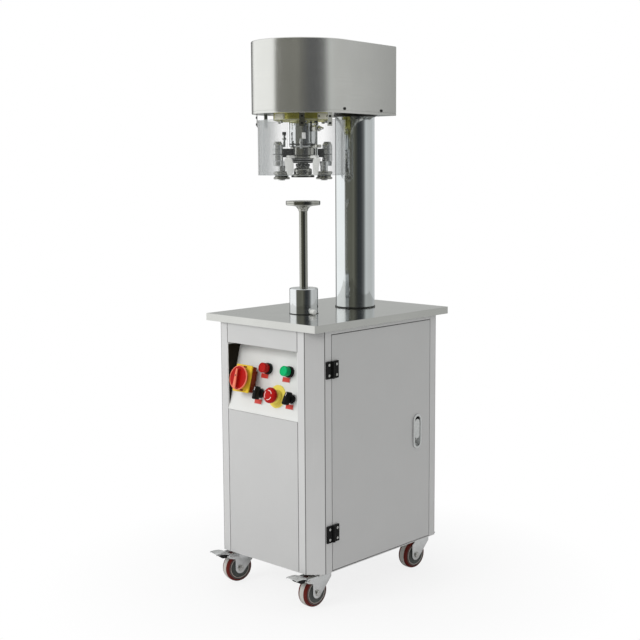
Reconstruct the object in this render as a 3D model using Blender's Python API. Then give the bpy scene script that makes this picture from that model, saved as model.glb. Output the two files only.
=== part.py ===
"""A floor-standing cup seaming machine: a cabinet on casters with a slanted control panel and
a hinged side door, a lifting cup platform, and a seaming head carried on a round column.

All sizes are in metres, +Z is up and the control panel faces -Y. The origin lies on the floor,
in the middle of the overall box. Each sub-part is one object. Shapes are written in the frame of
their parent empty: x = 0 and y = 0 are the middle of the tabletop.
"""
import math

import bmesh
import bpy
from mathutils import Matrix, Vector

MM = 0.001

# Clearances.
TOUCH = 0.3 * MM      # between two pieces that rest on each other
RUN = 0.6 * MM        # radial, between a turning or sliding shaft and its hole
SEAM = 2 * MM         # visible seam round a panel or the door
WELD = 0.5 * MM       # how far welded shapes sink into each other

# Tabletop: a folded tray turned upside down.
TABLE_WIDE = 400 * MM
TABLE_DEEP = 535 * MM
TABLE_TOP = 740.5 * MM
TABLE_SKIRT = 19 * MM
SHEET = 2 * MM

# Cabinet.
WHEEL_R = 39.5 * MM
CASTER_TALL = 2 * WHEEL_R + 16.5 * MM
CABINET_WIDE = TABLE_WIDE - 20 * MM
CABINET_DEEP = TABLE_DEEP - 15 * MM
CABINET_Y = 2.5 * MM
CHAMFER = 36 * MM
FLANGE = 24 * MM
LIP = 12 * MM
BASE_SHEET = 2.5 * MM
RING_TALL = 12.7 * MM
RING_WIDE = 15 * MM
BEAM_WIDE = 20 * MM
BEAM_TALL = 12 * MM
HEADER_TALL = 14 * MM

# Control panel, slanted back at its upper edge.
RECESS_HIGH = TABLE_TOP - 72 * MM
RECESS_LOW = RECESS_HIGH - 180 * MM
RECESS_DEEP = 48 * MM
BUTTON_R = 11.5 * MM
BUTTON_STEM_R = 8 * MM
BUTTON_TALL = 24 * MM
BUTTON_TRAVEL = 4 * MM
ESTOP_TRAVEL = 5 * MM
ESTOP_R = 20 * MM
ESTOP_RING_R = 30 * MM
SWITCH_SIDE = 64 * MM
SWITCH_BODY_TALL = 26 * MM
SWITCH_PLATE_TALL = 8 * MM
SWITCH_HANDLE_R = 31.5 * MM
# Places on the panel: across from its middle, and up its slope from the lower edge.
STOP_AT = (-5 * MM, 122 * MM)
START_AT = (73 * MM, 122 * MM)
ESTOP_AT = (43 * MM, 55 * MM)
LEFT_SELECTOR_AT = (-13 * MM, 55 * MM)
RIGHT_SELECTOR_AT = (99 * MM, 55 * MM)
SWITCH_AT = (-62 * MM, 84 * MM)

# Door, its hinges and its latch.
DOOR_LOW = CASTER_TALL + 5 * MM
DOOR_LIP = 14 * MM
HINGE_TALL = 44 * MM
HINGE_LEAF = 22 * MM
HINGE_THICK = 4 * MM
HINGE_KNUCKLE_R = 4.5 * MM
HINGE_PIN_R = 2 * MM
HINGE_HEIGHTS = (("lower", DOOR_LOW + 98 * MM), ("upper", TABLE_TOP - 118 * MM))
LATCH_FROM_EDGE = 55 * MM
LATCH_Z = TABLE_TOP - 333 * MM
LATCH_WIDE = 35 * MM
LATCH_TALL = 96 * MM
LATCH_WALL = 3 * MM
LATCH_DEEP = 14 * MM
LATCH_PIN_R = 2 * MM

# Column and head.
COLUMN_Y = 106 * MM
COLUMN_R = 54 * MM
COLUMN_WALL = 9 * MM
COLUMN_FLANGE = 170 * MM
COLUMN_FLANGE_THICK = 10 * MM
SPINDLE_Y = -99 * MM
HEAD_LOW = TABLE_TOP + 522 * MM
HEAD_HIGH = HEAD_LOW + 184 * MM
HEAD_R = 132 * MM
HEAD_BACK_Y = COLUMN_Y + COLUMN_R + 3 * MM
HEAD_BACK_HALF = 99 * MM
HEAD_BASE_UP = 5 * MM
HEAD_BASE_THICK = 12 * MM

# Seaming gear under the head.
BEARING_R = 76 * MM
BEARING_LOW = HEAD_LOW - 17 * MM
HOUSING_R = 35 * MM
HOUSING_LOW = HEAD_LOW - 84 * MM
SPINDLE_R = 14 * MM
SPINDLE_TIP_R = 10 * MM
SPINDLE_TOP = HEAD_LOW + 78 * MM
CHUCK_R = 28 * MM
CHUCK_LOW = HEAD_LOW - 163 * MM
CHUCK_TALL = 31 * MM
CARRIER_R = 32 * MM
CARRIER_LOW = HEAD_LOW - 114 * MM
POST_R = 13.5 * MM
POST_LOW = HEAD_LOW - 121 * MM
POST_HIGH = HEAD_LOW - 77 * MM
POST_FROM_AXIS = 68 * MM
POST_ANGLE = 63           # degrees in plan, from +X
ARM_PIN_R = 7 * MM
ARM_THICK = 12 * MM
ROLLER_R = 21.5 * MM
ROLLER_LOW = HEAD_LOW - 168 * MM
ROLLER_TALL = 21 * MM
ROLLER_AXLE_R = 6 * MM
ROLLER_FROM_AXIS = 56 * MM
ROLLER_ANGLE = 37         # degrees in plan, from +X

# Drive.
PULLEY_LOW = HEAD_LOW + 33 * MM
PULLEY_TALL = 30 * MM
DRIVE_PULLEY_R = 40 * MM
SPINDLE_PULLEY_R = 60 * MM
BELT_THICK = 4 * MM
DRIVE_SHAFT_R = 10 * MM
MOTOR_R = 62 * MM
MOTOR_TALL = 235 * MM
MOTOR_PLATE = 130 * MM
MOTOR_SOCKET_DEEP = 70 * MM

# Guard: a clear sheet bent round the seaming gear, open to the back.
GUARD_R = 117 * MM
GUARD_THICK = 3 * MM
GUARD_LOW = HEAD_LOW - 157 * MM
GUARD_HIGH = HEAD_LOW - 16 * MM
GUARD_HALF_SWEEP = 115    # degrees either side of the front
TAB_ANGLES = (-170, -133.5, -46.5, -10)
TAB_WIDE = 14 * MM
TAB_THICK = 2 * MM
TAB_LOW = HEAD_LOW - 33 * MM

# Cup platform and its lift.
PLATFORM_TOP = CHUCK_LOW - 61 * MM
PLATFORM_R = 45.5 * MM
PLATFORM_THICK = 15 * MM
PLATFORM_HUB_R = 26 * MM
PLATFORM_HUB_TALL = 12 * MM
ROD_R = 11 * MM
ROD_TIP_R = 8 * MM
ROD_LONG = 386 * MM
COLLAR_R = 38 * MM
COLLAR_TALL = 68 * MM
CLAMP_ANGLE = -14         # degrees in plan, from +X
CLAMP_UP = 7.5 * MM
CLAMP_R = 4 * MM
CLAMP_KNOB_R = 6.5 * MM
CLAMP_KNOB_LONG = 14 * MM
LIFT_R = 30 * MM
LIFT_TALL = 297 * MM
LIFT_FLANGE = 60 * MM
LIFT_FLANGE_THICK = 10 * MM

# Casters. The rest angle turns the wheel's trail from -Y towards -X.
CASTER_X = CABINET_WIDE / 2 - 49 * MM
CASTER_FRONT_Y = CABINET_Y - CABINET_DEEP / 2 + 66.5 * MM
CASTER_REAR_Y = CABINET_Y + CABINET_DEEP / 2 - 47 * MM
CASTERS = (
    ("front_left", -CASTER_X, CASTER_FRONT_Y, 13, True),
    ("front_right", CASTER_X, CASTER_FRONT_Y, 3, True),
    ("rear_left", -CASTER_X, CASTER_REAR_Y, 12, False),
    ("rear_right", CASTER_X, CASTER_REAR_Y, 5, False),
)
CASTER_PLATE = 68 * MM
CASTER_PLATE_THICK = 3 * MM
CASTER_TRAIL = 28 * MM
KINGPIN_R = 6 * MM
WHEEL_WIDE = 31 * MM
WHEEL_FACETS = 32
AXLE_R = 4 * MM
FORK_SHEET = 2.5 * MM
FORK_SIDE_GAP = 1.5 * MM
FORK_BRIDGE_LOW = 2 * WHEEL_R + 1.5 * MM
FORK_BRIDGE_HIGH = FORK_BRIDGE_LOW + 3.5 * MM
CROWN_R = 24 * MM
PEDAL_PIN_ANGLE = 127.7   # degrees round the wheel's centre in side view, from +Y to +Z
PEDAL_PIN_R = 3 * MM
PEDAL_BARREL_R = 6 * MM
PEDAL_LONG = 45 * MM
PEDAL_RISE = 14 * MM
PEDAL_WIDE = 37 * MM
PEDAL_THICK = 3 * MM
PEDAL_LEAN = 20           # degrees by which the cam stands off the wheel's centre at rest

GLAND_AT = (-20 * MM, 232 * MM)
GLAND_R = 8 * MM

# Worked out from the sizes above.
TABLE_UNDER = TABLE_TOP - SHEET
FRAME_TOP = TABLE_UNDER - TOUCH
RING_LOW = FRAME_TOP - RING_TALL
BASE_TOP = CASTER_TALL + BASE_SHEET
HALF_WIDE = CABINET_WIDE / 2
CABINET_FRONT = CABINET_Y - CABINET_DEEP / 2
CABINET_BACK = CABINET_Y + CABINET_DEEP / 2
POST_EDGE = CHAMFER + FLANGE
PANEL_HALF = HALF_WIDE - POST_EDGE - SEAM
PANEL_LOW = BASE_TOP + TOUCH
PANEL_HIGH = RING_LOW - TOUCH
SIDE_FRONT = CABINET_FRONT + POST_EDGE
SIDE_BACK = CABINET_BACK - POST_EDGE
BEAM_HIGH = FRAME_TOP - COLUMN_FLANGE_THICK - TOUCH
BEAM_LOW = BEAM_HIGH - BEAM_TALL
DOOR_HIGH = FRAME_TOP - RING_TALL - HEADER_TALL - SEAM
SLANT = math.atan2(RECESS_DEEP, RECESS_HIGH - RECESS_LOW)
FACE_LONG = math.hypot(RECESS_DEEP, RECESS_HIGH - RECESS_LOW)
FACE_HALF = HALF_WIDE - POST_EDGE - TOUCH
HEAD_BASE_LOW = HEAD_LOW + HEAD_BASE_UP
HEAD_BASE_HIGH = HEAD_BASE_LOW + HEAD_BASE_THICK
AXLE_Z = WHEEL_R
WHEEL_CORNER_R = WHEEL_R / math.cos(math.pi / WHEEL_FACETS)
PEDAL_PIN_OUT = WHEEL_CORNER_R + PEDAL_BARREL_R + 1.7 * MM
PEDAL_PIN_Y = -CASTER_TRAIL + PEDAL_PIN_OUT * math.cos(math.radians(PEDAL_PIN_ANGLE))
PEDAL_PIN_Z = AXLE_Z + PEDAL_PIN_OUT * math.sin(math.radians(PEDAL_PIN_ANGLE))
FLANGE_LOW = FRAME_TOP - COLUMN_FLANGE_THICK


def clear_scene():
    for item in list(bpy.data.objects):
        bpy.data.objects.remove(item, do_unlink=True)


def empty(name, at=(0, 0, 0), parent=None, rotation=(0, 0, 0)):
    item = bpy.data.objects.new(name, None)
    item.location = at
    item.rotation_euler = rotation
    item.parent = parent
    bpy.context.scene.collection.objects.link(item)
    return item


# Shapes. Each returns a bmesh with one closed body.

def block(low, high):
    shape = bmesh.new()
    centre = (Vector(low) + Vector(high)) / 2
    size = Vector(high) - Vector(low)
    matrix = Matrix.Translation(centre) @ Matrix.Diagonal((*size, 1))
    bmesh.ops.create_cube(shape, size=1, matrix=matrix)
    return shape


def axis_turn(axis):
    """The rotation that takes +Z to the named axis, with the other two in cyclic order."""
    turns = {
        "Z": Matrix.Identity(4),
        "X": Matrix(((0, 0, 1, 0), (1, 0, 0, 0), (0, 1, 0, 0), (0, 0, 0, 1))),
        "Y": Matrix(((0, 1, 0, 0), (0, 0, 1, 0), (1, 0, 0, 0), (0, 0, 0, 1))),
    }
    return turns[axis]


def turned(profile, at=(0, 0, 0), axis="Z", facets=32):
    """A solid of revolution. The profile is a closed loop of (radius, height) points."""
    shape = bmesh.new()
    rings = []
    for radius, height in profile:
        ring = []
        for step in range(facets if radius else 0):
            angle = (step + 0.5) * math.tau / facets
            ring.append(shape.verts.new((radius * math.cos(angle), radius * math.sin(angle), height)))
        rings.append(ring)
    for first, second in zip(rings, rings[1:] + rings[:1]):
        if first and second:
            for step in range(facets):
                after = (step + 1) % facets
                shape.faces.new((first[step], first[after], second[after], second[step]))
        elif first or second:
            shape.faces.new(first or second)
    shape.transform(Matrix.Translation(at) @ axis_turn(axis))
    bmesh.ops.recalc_face_normals(shape, faces=shape.faces)
    return shape


def rod(radius, low, high, at=(0, 0, 0), axis="Z", facets=24):
    return turned([(0, low), (radius, low), (radius, high), (0, high)], at, axis, facets)


def tube(outer, inner, low, high, at=(0, 0, 0), axis="Z", facets=32):
    return turned([(inner, low), (outer, low), (outer, high), (inner, high)], at, axis, facets)


def prism(outline, low, high, at=(0, 0, 0), axis="Z"):
    """An outline in the plane across the axis, pulled along it from low to high."""
    shape = bmesh.new()
    corners = [shape.verts.new((a, b, low)) for a, b in outline]
    face = shape.faces.new(corners)
    pulled = bmesh.ops.extrude_face_region(shape, geom=[face])
    for item in pulled["geom"]:
        if isinstance(item, bmesh.types.BMVert):
            item.co.z = high
    shape.transform(Matrix.Translation(at) @ axis_turn(axis))
    bmesh.ops.recalc_face_normals(shape, faces=shape.faces)
    return shape


def hull(points):
    shape = bmesh.new()
    for point in points:
        shape.verts.new(point)
    made = bmesh.ops.convex_hull(shape, input=shape.verts)
    spare = {item for item in made["geom_interior"] + made["geom_unused"]
             if isinstance(item, bmesh.types.BMVert)}
    bmesh.ops.delete(shape, geom=list(spare), context="VERTS")
    bmesh.ops.recalc_face_normals(shape, faces=shape.faces)
    return shape


# Outlines in plan or elevation.

def arc(centre, radius, start, end, steps):
    points = []
    for step in range(steps + 1):
        angle = math.radians(start + (end - start) * step / steps)
        points.append((centre[0] + radius * math.cos(angle), centre[1] + radius * math.sin(angle)))
    return points


def stadium(half_wide, half_tall, steps=10):
    """A slot outline that is taller than it is wide."""
    straight = half_tall - half_wide
    return (arc((0, straight), half_wide, 0, 180, steps)
            + arc((0, -straight), half_wide, 180, 360, steps))


def rectangle(wide, tall):
    return [(-wide / 2, -tall / 2), (wide / 2, -tall / 2), (wide / 2, tall / 2), (-wide / 2, tall / 2)]


def folded(path, thickness):
    """The outline of a sheet bent along a path, with the sheet on the path's right-hand side."""
    inner = []
    for index, point in enumerate(path):
        here = Vector(point)
        normals = []
        if index > 0:
            run = (here - Vector(path[index - 1])).normalized()
            normals.append(Vector((run.y, -run.x)))
        if index < len(path) - 1:
            run = (Vector(path[index + 1]) - here).normalized()
            normals.append(Vector((run.y, -run.x)))
        mean = sum(normals, Vector((0, 0))).normalized()
        inner.append(tuple(here + mean * thickness / mean.dot(normals[0])))
    return list(path) + inner[::-1]


def cabinet_outline(inset):
    """The cabinet's plan: a rectangle with its four corners cut off."""
    half_x = HALF_WIDE - inset
    half_y = CABINET_DEEP / 2 - inset
    cut = CHAMFER - inset * (2 - math.sqrt(2))
    quarter = [(half_x, half_y - cut), (half_x - cut, half_y)]
    points = quarter + [(-x, y) for x, y in quarter[::-1]]
    points += [(-x, -y) for x, y in quarter] + [(x, -y) for x, y in quarter[::-1]]
    return [(x, CABINET_Y + y) for x, y in points]


def head_outline(inset, steps=32):
    """The head's plan: round in front about the spindle, narrowing to a straight back."""
    radius = HEAD_R - inset
    back_y = HEAD_BACK_Y - inset
    half = HEAD_BACK_HALF - inset
    run = back_y - SPINDLE_Y
    lean = math.degrees(math.atan2(run, half) - math.acos(radius / math.hypot(half, run)))
    front = arc((0, SPINDLE_Y), radius, lean, -180 - lean, steps)
    return [(half, back_y)] + front + [(-half, back_y)]


def belt_outline(grow, steps=16):
    """The belt's plan: round both pulleys with two straight runs between them."""
    near = DRIVE_PULLEY_R + grow
    far = SPINDLE_PULLEY_R + grow
    lean = math.degrees(math.asin((far - near) / (COLUMN_Y - SPINDLE_Y)))
    return (arc((0, COLUMN_Y), near, lean, 180 - lean, steps)
            + arc((0, SPINDLE_Y), far, 180 - lean, 360 + lean, steps))


# Objects.

def paint(item, colour, roughness, metallic):
    material = bpy.data.materials.new(item.name)
    material.use_nodes = True
    shader = material.node_tree.nodes["Principled BSDF"]
    shader.inputs["Base Color"].default_value = (*colour, 1)
    shader.inputs["Roughness"].default_value = roughness
    shader.inputs["Metallic"].default_value = metallic
    item.data.materials.append(material)


BRUSHED = ((0.55, 0.56, 0.54), 0.35, 1.0)
PANEL = ((0.56, 0.56, 0.56), 0.5, 0.6)
CHROME = ((0.75, 0.77, 0.78), 0.12, 1.0)
STEEL = ((0.45, 0.45, 0.44), 0.3, 1.0)
ZINC = ((0.62, 0.63, 0.64), 0.3, 1.0)
YELLOW_ZINC = ((0.55, 0.52, 0.16), 0.35, 0.8)
BLACK = ((0.02, 0.02, 0.02), 0.5, 0.0)
RED = ((0.55, 0.02, 0.01), 0.4, 0.0)
GREEN = ((0.0, 0.5, 0.2), 0.3, 0.0)
YELLOW = ((0.8, 0.55, 0.05), 0.45, 0.0)
CLEAR = ((0.8, 0.82, 0.82), 0.05, 0.0)
RUBBER = ((0.35, 0.04, 0.03), 0.6, 0.0)
MOTOR_PAINT = ((0.10, 0.14, 0.18), 0.5, 0.0)


def to_mesh(name, shape, origin):
    shape.transform(Matrix.Translation(-Vector(origin)))
    mesh = bpy.data.meshes.new(name)
    shape.to_mesh(mesh)
    shape.free()
    mesh.shade_smooth()
    mesh.set_sharp_from_angle(angle=math.radians(30))
    return mesh


def add(name, shape, look, parent, origin=(0, 0, 0)):
    """A named sub-part. Its origin goes on its joint's axis."""
    item = bpy.data.objects.new(name, to_mesh(name, shape, origin))
    item.parent = parent
    item.location = origin
    bpy.context.scene.collection.objects.link(item)
    paint(item, *look)
    return item


def shape_with(item, operation, *shapes):
    """Joins or cuts with helper objects that never render."""
    for shape in shapes:
        name = f"{item.name}_{operation.lower()}_{len(item.modifiers)}"
        helper = bpy.data.objects.new(name, to_mesh(name, shape, item.location))
        helper.parent = item.parent
        helper.location = item.location
        helper.hide_render = True
        helper.display_type = "WIRE"
        bpy.context.scene.collection.objects.link(helper)
        modifier = item.modifiers.new(name, "BOOLEAN")
        modifier.operation = operation
        modifier.solver = "EXACT"
        modifier.object = helper


def weld(item, *shapes):
    shape_with(item, "UNION", *shapes)


def cut(item, *shapes):
    shape_with(item, "DIFFERENCE", *shapes)


# Cabinet.

def corner_post(side_x, side_y):
    """A sheet folded round one chamfered corner, with a lip at each edge."""
    path = [(POST_EDGE, LIP), (POST_EDGE, 0), (CHAMFER, 0), (0, CHAMFER), (0, POST_EDGE), (LIP, POST_EDGE)]
    outline = [(side_x * (HALF_WIDE - a), CABINET_Y + side_y * (CABINET_DEEP / 2 - b))
               for a, b in folded(path, SHEET)]
    return prism(outline, CASTER_TALL + WELD, FRAME_TOP - WELD)


def build_frame(machine):
    inset = SHEET / 2
    frame = add("cabinet_frame", prism(cabinet_outline(inset), CASTER_TALL, BASE_TOP), PANEL, machine)
    posts = [corner_post(x, y) for x in (-1, 1) for y in (-1, 1)]
    ring = prism(cabinet_outline(inset), RING_LOW, FRAME_TOP)
    weld(frame, *posts, ring)
    cut(frame, prism(cabinet_outline(inset + RING_WIDE), RING_LOW - SHEET, FRAME_TOP + SHEET))
    beam_half = HALF_WIDE - SHEET / 2 - RING_WIDE + SHEET
    for middle, half_gap in ((SPINDLE_Y, LIFT_FLANGE / 2), (COLUMN_Y, MOTOR_PLATE / 2)):
        for side in (-1, 1):
            y = middle + side * (half_gap + BEAM_WIDE / 2 + SHEET)
            weld(frame, block((-beam_half, y - BEAM_WIDE / 2, BEAM_LOW),
                              (beam_half, y + BEAM_WIDE / 2, BEAM_HIGH)))
    header_low = RING_LOW - HEADER_TALL
    weld(frame, block((HALF_WIDE - 3 * SHEET, SIDE_FRONT - SHEET / 2, header_low),
                      (HALF_WIDE - SHEET / 4, SIDE_BACK + SHEET / 2, RING_LOW + WELD)))
    cut(frame, rod(GLAND_R + TOUCH, CASTER_TALL - SHEET, BASE_TOP + SHEET, (*GLAND_AT, 0)))
    return frame


def build_gland(machine):
    profile = [(GLAND_R * 0.45, -18 * MM), (GLAND_R, -18 * MM), (GLAND_R + 3 * MM, -12 * MM),
               (GLAND_R + 3 * MM, -TOUCH), (GLAND_R, -TOUCH), (GLAND_R, BASE_SHEET + TOUCH),
               (GLAND_R + 3 * MM, BASE_SHEET + TOUCH), (GLAND_R + 3 * MM, BASE_SHEET + 5 * MM),
               (GLAND_R * 0.45, BASE_SHEET + 5 * MM)]
    add("cable_gland", turned(profile, (*GLAND_AT, CASTER_TALL), facets=16), BLACK, machine)


def tray(name, low, high, hollow_low, hollow_high, machine):
    """A panel of folded sheet: a block with its back hollowed out."""
    item = add(name, block(low, high), PANEL, machine)
    cut(item, block(hollow_low, hollow_high))
    return item


def build_panels(machine):
    side_low = SIDE_FRONT + SEAM
    side_high = SIDE_BACK - SEAM
    tray("left_panel",
         (-HALF_WIDE, side_low, PANEL_LOW), (-HALF_WIDE + LIP, side_high, PANEL_HIGH),
         (-HALF_WIDE + SHEET, side_low + SHEET, PANEL_LOW + SHEET),
         (-HALF_WIDE + LIP + SHEET, side_high - SHEET, PANEL_HIGH - SHEET), machine)
    back = tray("back_panel",
                (-PANEL_HALF, CABINET_BACK - LIP, PANEL_LOW), (PANEL_HALF, CABINET_BACK, PANEL_HIGH),
                (-PANEL_HALF + SHEET, CABINET_BACK - LIP - SHEET, PANEL_LOW + SHEET),
                (PANEL_HALF - SHEET, CABINET_BACK - SHEET, PANEL_HIGH - SHEET), machine)
    vent_count = 6
    vent_step = 16 * MM
    vent_half = PANEL_HALF * 0.55
    for index in range(vent_count):
        z = PANEL_HIGH - 90 * MM - index * vent_step
        cut(back, block((-vent_half, CABINET_BACK - 2 * SHEET, z - SHEET),
                        (vent_half, CABINET_BACK + SHEET, z + SHEET)))
    front_high = RECESS_LOW - TOUCH
    tray("front_lower_panel",
         (-PANEL_HALF, CABINET_FRONT, PANEL_LOW), (PANEL_HALF, CABINET_FRONT + LIP, front_high),
         (-PANEL_HALF + SHEET, CABINET_FRONT + SHEET, PANEL_LOW + SHEET),
         (PANEL_HALF - SHEET, CABINET_FRONT + LIP + SHEET, front_high - SHEET), machine)
    upper = tray("front_upper_panel",
                 (-PANEL_HALF, CABINET_FRONT, RECESS_HIGH),
                 (PANEL_HALF, CABINET_FRONT + LIP, PANEL_HIGH),
                 (-PANEL_HALF + SHEET, CABINET_FRONT + SHEET, RECESS_HIGH + SHEET),
                 (PANEL_HALF - SHEET, CABINET_FRONT + LIP + SHEET, PANEL_HIGH - SHEET), machine)
    weld(upper, block((-PANEL_HALF, CABINET_FRONT + LIP - SHEET, RECESS_HIGH),
                      (PANEL_HALF, CABINET_FRONT + RECESS_DEEP, RECESS_HIGH + SHEET)))


def build_tabletop(machine):
    half_x = TABLE_WIDE / 2
    half_y = TABLE_DEEP / 2
    table = add("tabletop", block((-half_x, -half_y, TABLE_TOP - TABLE_SKIRT), (half_x, half_y, TABLE_TOP)),
                BRUSHED, machine)
    cut(table, block((-half_x + SHEET, -half_y + SHEET, TABLE_TOP - TABLE_SKIRT - SHEET),
                     (half_x - SHEET, half_y - SHEET, TABLE_UNDER)))
    cut(table, rod(COLUMN_R + TOUCH, TABLE_UNDER - SHEET, TABLE_TOP + SHEET, (0, COLUMN_Y, 0), facets=40))
    cut(table, rod(ROD_R + RUN, TABLE_UNDER - SHEET, TABLE_TOP + SHEET, (0, SPINDLE_Y, 0)))


# Control panel. Its empty's +Z stands out of the panel and +Y runs up the slope.

def build_control_panel(face):
    inner = FACE_HALF - SHEET
    start = SHEET * math.tan(SLANT)
    panel = add("control_panel", block((-FACE_HALF, start, -SHEET), (FACE_HALF, FACE_LONG - SHEET, 0)),
                PANEL, face)
    drop = RECESS_HIGH - RECESS_LOW
    front_edge = (drop - SHEET) * math.cos(SLANT)
    front_out = (drop - SHEET) * math.sin(SLANT)
    for side in (-1, 1):
        cheek = [(SHEET, -SHEET / 2), (front_edge, front_out), (FACE_LONG - SHEET, -SHEET / 2)]
        low, high = sorted((side * inner, side * FACE_HALF))
        weld(panel, prism(cheek, low, high, axis="X"))
    for x, y in (STOP_AT, START_AT, ESTOP_AT, LEFT_SELECTOR_AT, RIGHT_SELECTOR_AT):
        cut(panel, rod(BUTTON_STEM_R + RUN, -2 * SHEET, SHEET, (x, y, 0), facets=16))


def build_push_button(name, at, look, face):
    lift = BUTTON_TRAVEL + 2 * MM
    profile = [(0, -12 * MM), (BUTTON_STEM_R, -12 * MM), (BUTTON_STEM_R, lift), (BUTTON_R, lift),
               (BUTTON_R, BUTTON_TALL - 2 * MM), (BUTTON_R - 2 * MM, BUTTON_TALL), (0, BUTTON_TALL)]
    add(name, turned(profile, (*at, 0), facets=24), look, face, (*at, 0))


def build_emergency_stop(face):
    ring_high = 2 * MM
    neck = BUTTON_R - 0.5 * MM
    lift = ESTOP_TRAVEL + 1 * MM
    ring = tube(ESTOP_RING_R, BUTTON_R, TOUCH, TOUCH + ring_high, (*ESTOP_AT, 0))
    add("estop_ring", ring, YELLOW, face)
    profile = [(0, -14 * MM), (BUTTON_STEM_R, -14 * MM), (BUTTON_STEM_R, lift), (neck, lift),
               (neck, 16 * MM), (ESTOP_R, 20 * MM), (ESTOP_R, 29 * MM), (ESTOP_R - 5 * MM, 34 * MM),
               (0, 34 * MM)]
    add("estop_button", turned(profile, (*ESTOP_AT, 0), facets=24), RED, face, (*ESTOP_AT, 0))


def build_selector(name, at, face):
    profile = [(0, -12 * MM), (BUTTON_STEM_R, -12 * MM), (BUTTON_STEM_R, 4 * MM), (BUTTON_R, 4 * MM),
               (BUTTON_R, 14 * MM), (0, 14 * MM)]
    knob = add(name, turned(profile, (*at, 0), facets=24), BLACK, face, (*at, 0))
    x, y = at
    weld(knob, block((x - 4 * MM, y - 13 * MM, 14 * MM - WELD), (x + 4 * MM, y + 13 * MM, 27 * MM)))


def build_main_switch(face):
    x, y = SWITCH_AT
    half = SWITCH_SIDE / 2
    body = half - 3 * MM
    top = SWITCH_BODY_TALL + SWITCH_PLATE_TALL
    shaft_r = 5.5 * MM
    shaft_low = 14 * MM
    base = add("switch_base", block((x - body, y - body, TOUCH), (x + body, y + body, SWITCH_BODY_TALL)),
               YELLOW, face)
    weld(base, block((x - half, y - half, SWITCH_BODY_TALL - WELD), (x + half, y + half, top)))
    cut(base, rod(shaft_r + RUN, shaft_low - 2 * MM, top + SHEET, (x, y, 0), facets=16))
    disc_low = top + TOUCH
    disc_high = disc_low + 13 * MM
    profile = [(0, shaft_low), (shaft_r, shaft_low), (shaft_r, disc_low), (SWITCH_HANDLE_R, disc_low),
               (SWITCH_HANDLE_R, disc_high - 2 * MM), (SWITCH_HANDLE_R - 2 * MM, disc_high),
               (0, disc_high)]
    handle = add("switch_handle", turned(profile, (x, y, 0)), RED, face, (x, y, 0))
    weld(handle, block((x - 6 * MM, y - SWITCH_HANDLE_R + 4 * MM, disc_high - WELD),
                       (x + 6 * MM, y + SWITCH_HANDLE_R - 8 * MM, disc_high + 10 * MM)))


# Door.

def build_door(machine):
    low_y = SIDE_FRONT + SEAM
    high_y = SIDE_BACK - SEAM
    door = tray("door_panel",
                (HALF_WIDE - DOOR_LIP, low_y, DOOR_LOW), (HALF_WIDE, high_y, DOOR_HIGH),
                (HALF_WIDE - DOOR_LIP - SHEET, low_y + SHEET, DOOR_LOW + SHEET),
                (HALF_WIDE - SHEET, high_y - SHEET, DOOR_HIGH - SHEET), machine)
    latch_y = high_y - LATCH_FROM_EDGE
    body_half = LATCH_WIDE / 2 - LATCH_WALL
    body_tall = LATCH_TALL / 2 - LATCH_WALL
    at = (0, latch_y, LATCH_Z)
    outline = stadium(body_half + TOUCH, body_tall + TOUCH)
    cut(door, prism(outline, HALF_WIDE - 2 * SHEET, HALF_WIDE + SHEET, at, "X"))
    build_latch(machine, at, body_half, body_tall)


def build_latch(machine, at, half_wide, half_tall):
    face_low = HALF_WIDE + TOUCH
    face_high = face_low + LATCH_WALL
    body_low = HALF_WIDE - LATCH_DEEP
    flange = stadium(LATCH_WIDE / 2, LATCH_TALL / 2)
    case = add("latch_case", prism(flange, face_low, face_high, at, "X"), STEEL, machine)
    weld(case, prism(stadium(half_wide, half_tall), body_low, face_low + WELD, at, "X"))
    pocket_wide = half_wide - LATCH_WALL
    pocket_tall = half_tall - LATCH_WALL
    pocket_floor = body_low + LATCH_WALL
    cut(case, prism(stadium(pocket_wide, pocket_tall), pocket_floor, face_high + SHEET, at, "X"))
    pin_x = HALF_WIDE - 1 * MM
    pin_z = LATCH_Z + pocket_tall - 14 * MM
    pin_at = (pin_x, at[1], pin_z)
    pin_half = pocket_wide + LATCH_WALL * 0.6
    cut(case, rod(LATCH_PIN_R + RUN, -pin_half - TOUCH, pin_half + TOUCH, pin_at, "Y", 16))
    cam = [(-6 * MM, -6 * MM), (6 * MM, -6 * MM), (6 * MM, 38 * MM), (-6 * MM, 38 * MM)]
    cam_at = (0, at[1], LATCH_Z - 20 * MM)
    weld(case, prism(cam, body_low - 3 * MM, body_low + WELD, cam_at, "X"))
    handle_tall = 27 * MM
    handle_z = pin_z + 6 * MM - handle_tall
    paddle = stadium(pocket_wide - 1 * MM, handle_tall)
    handle = add("latch_handle", prism(paddle, pin_x - 3 * MM, pin_x + 3 * MM, (0, at[1], handle_z), "X"),
                 STEEL, machine, pin_at)
    weld(handle, rod(LATCH_PIN_R, -pin_half, pin_half, pin_at, "Y", 16))


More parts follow.
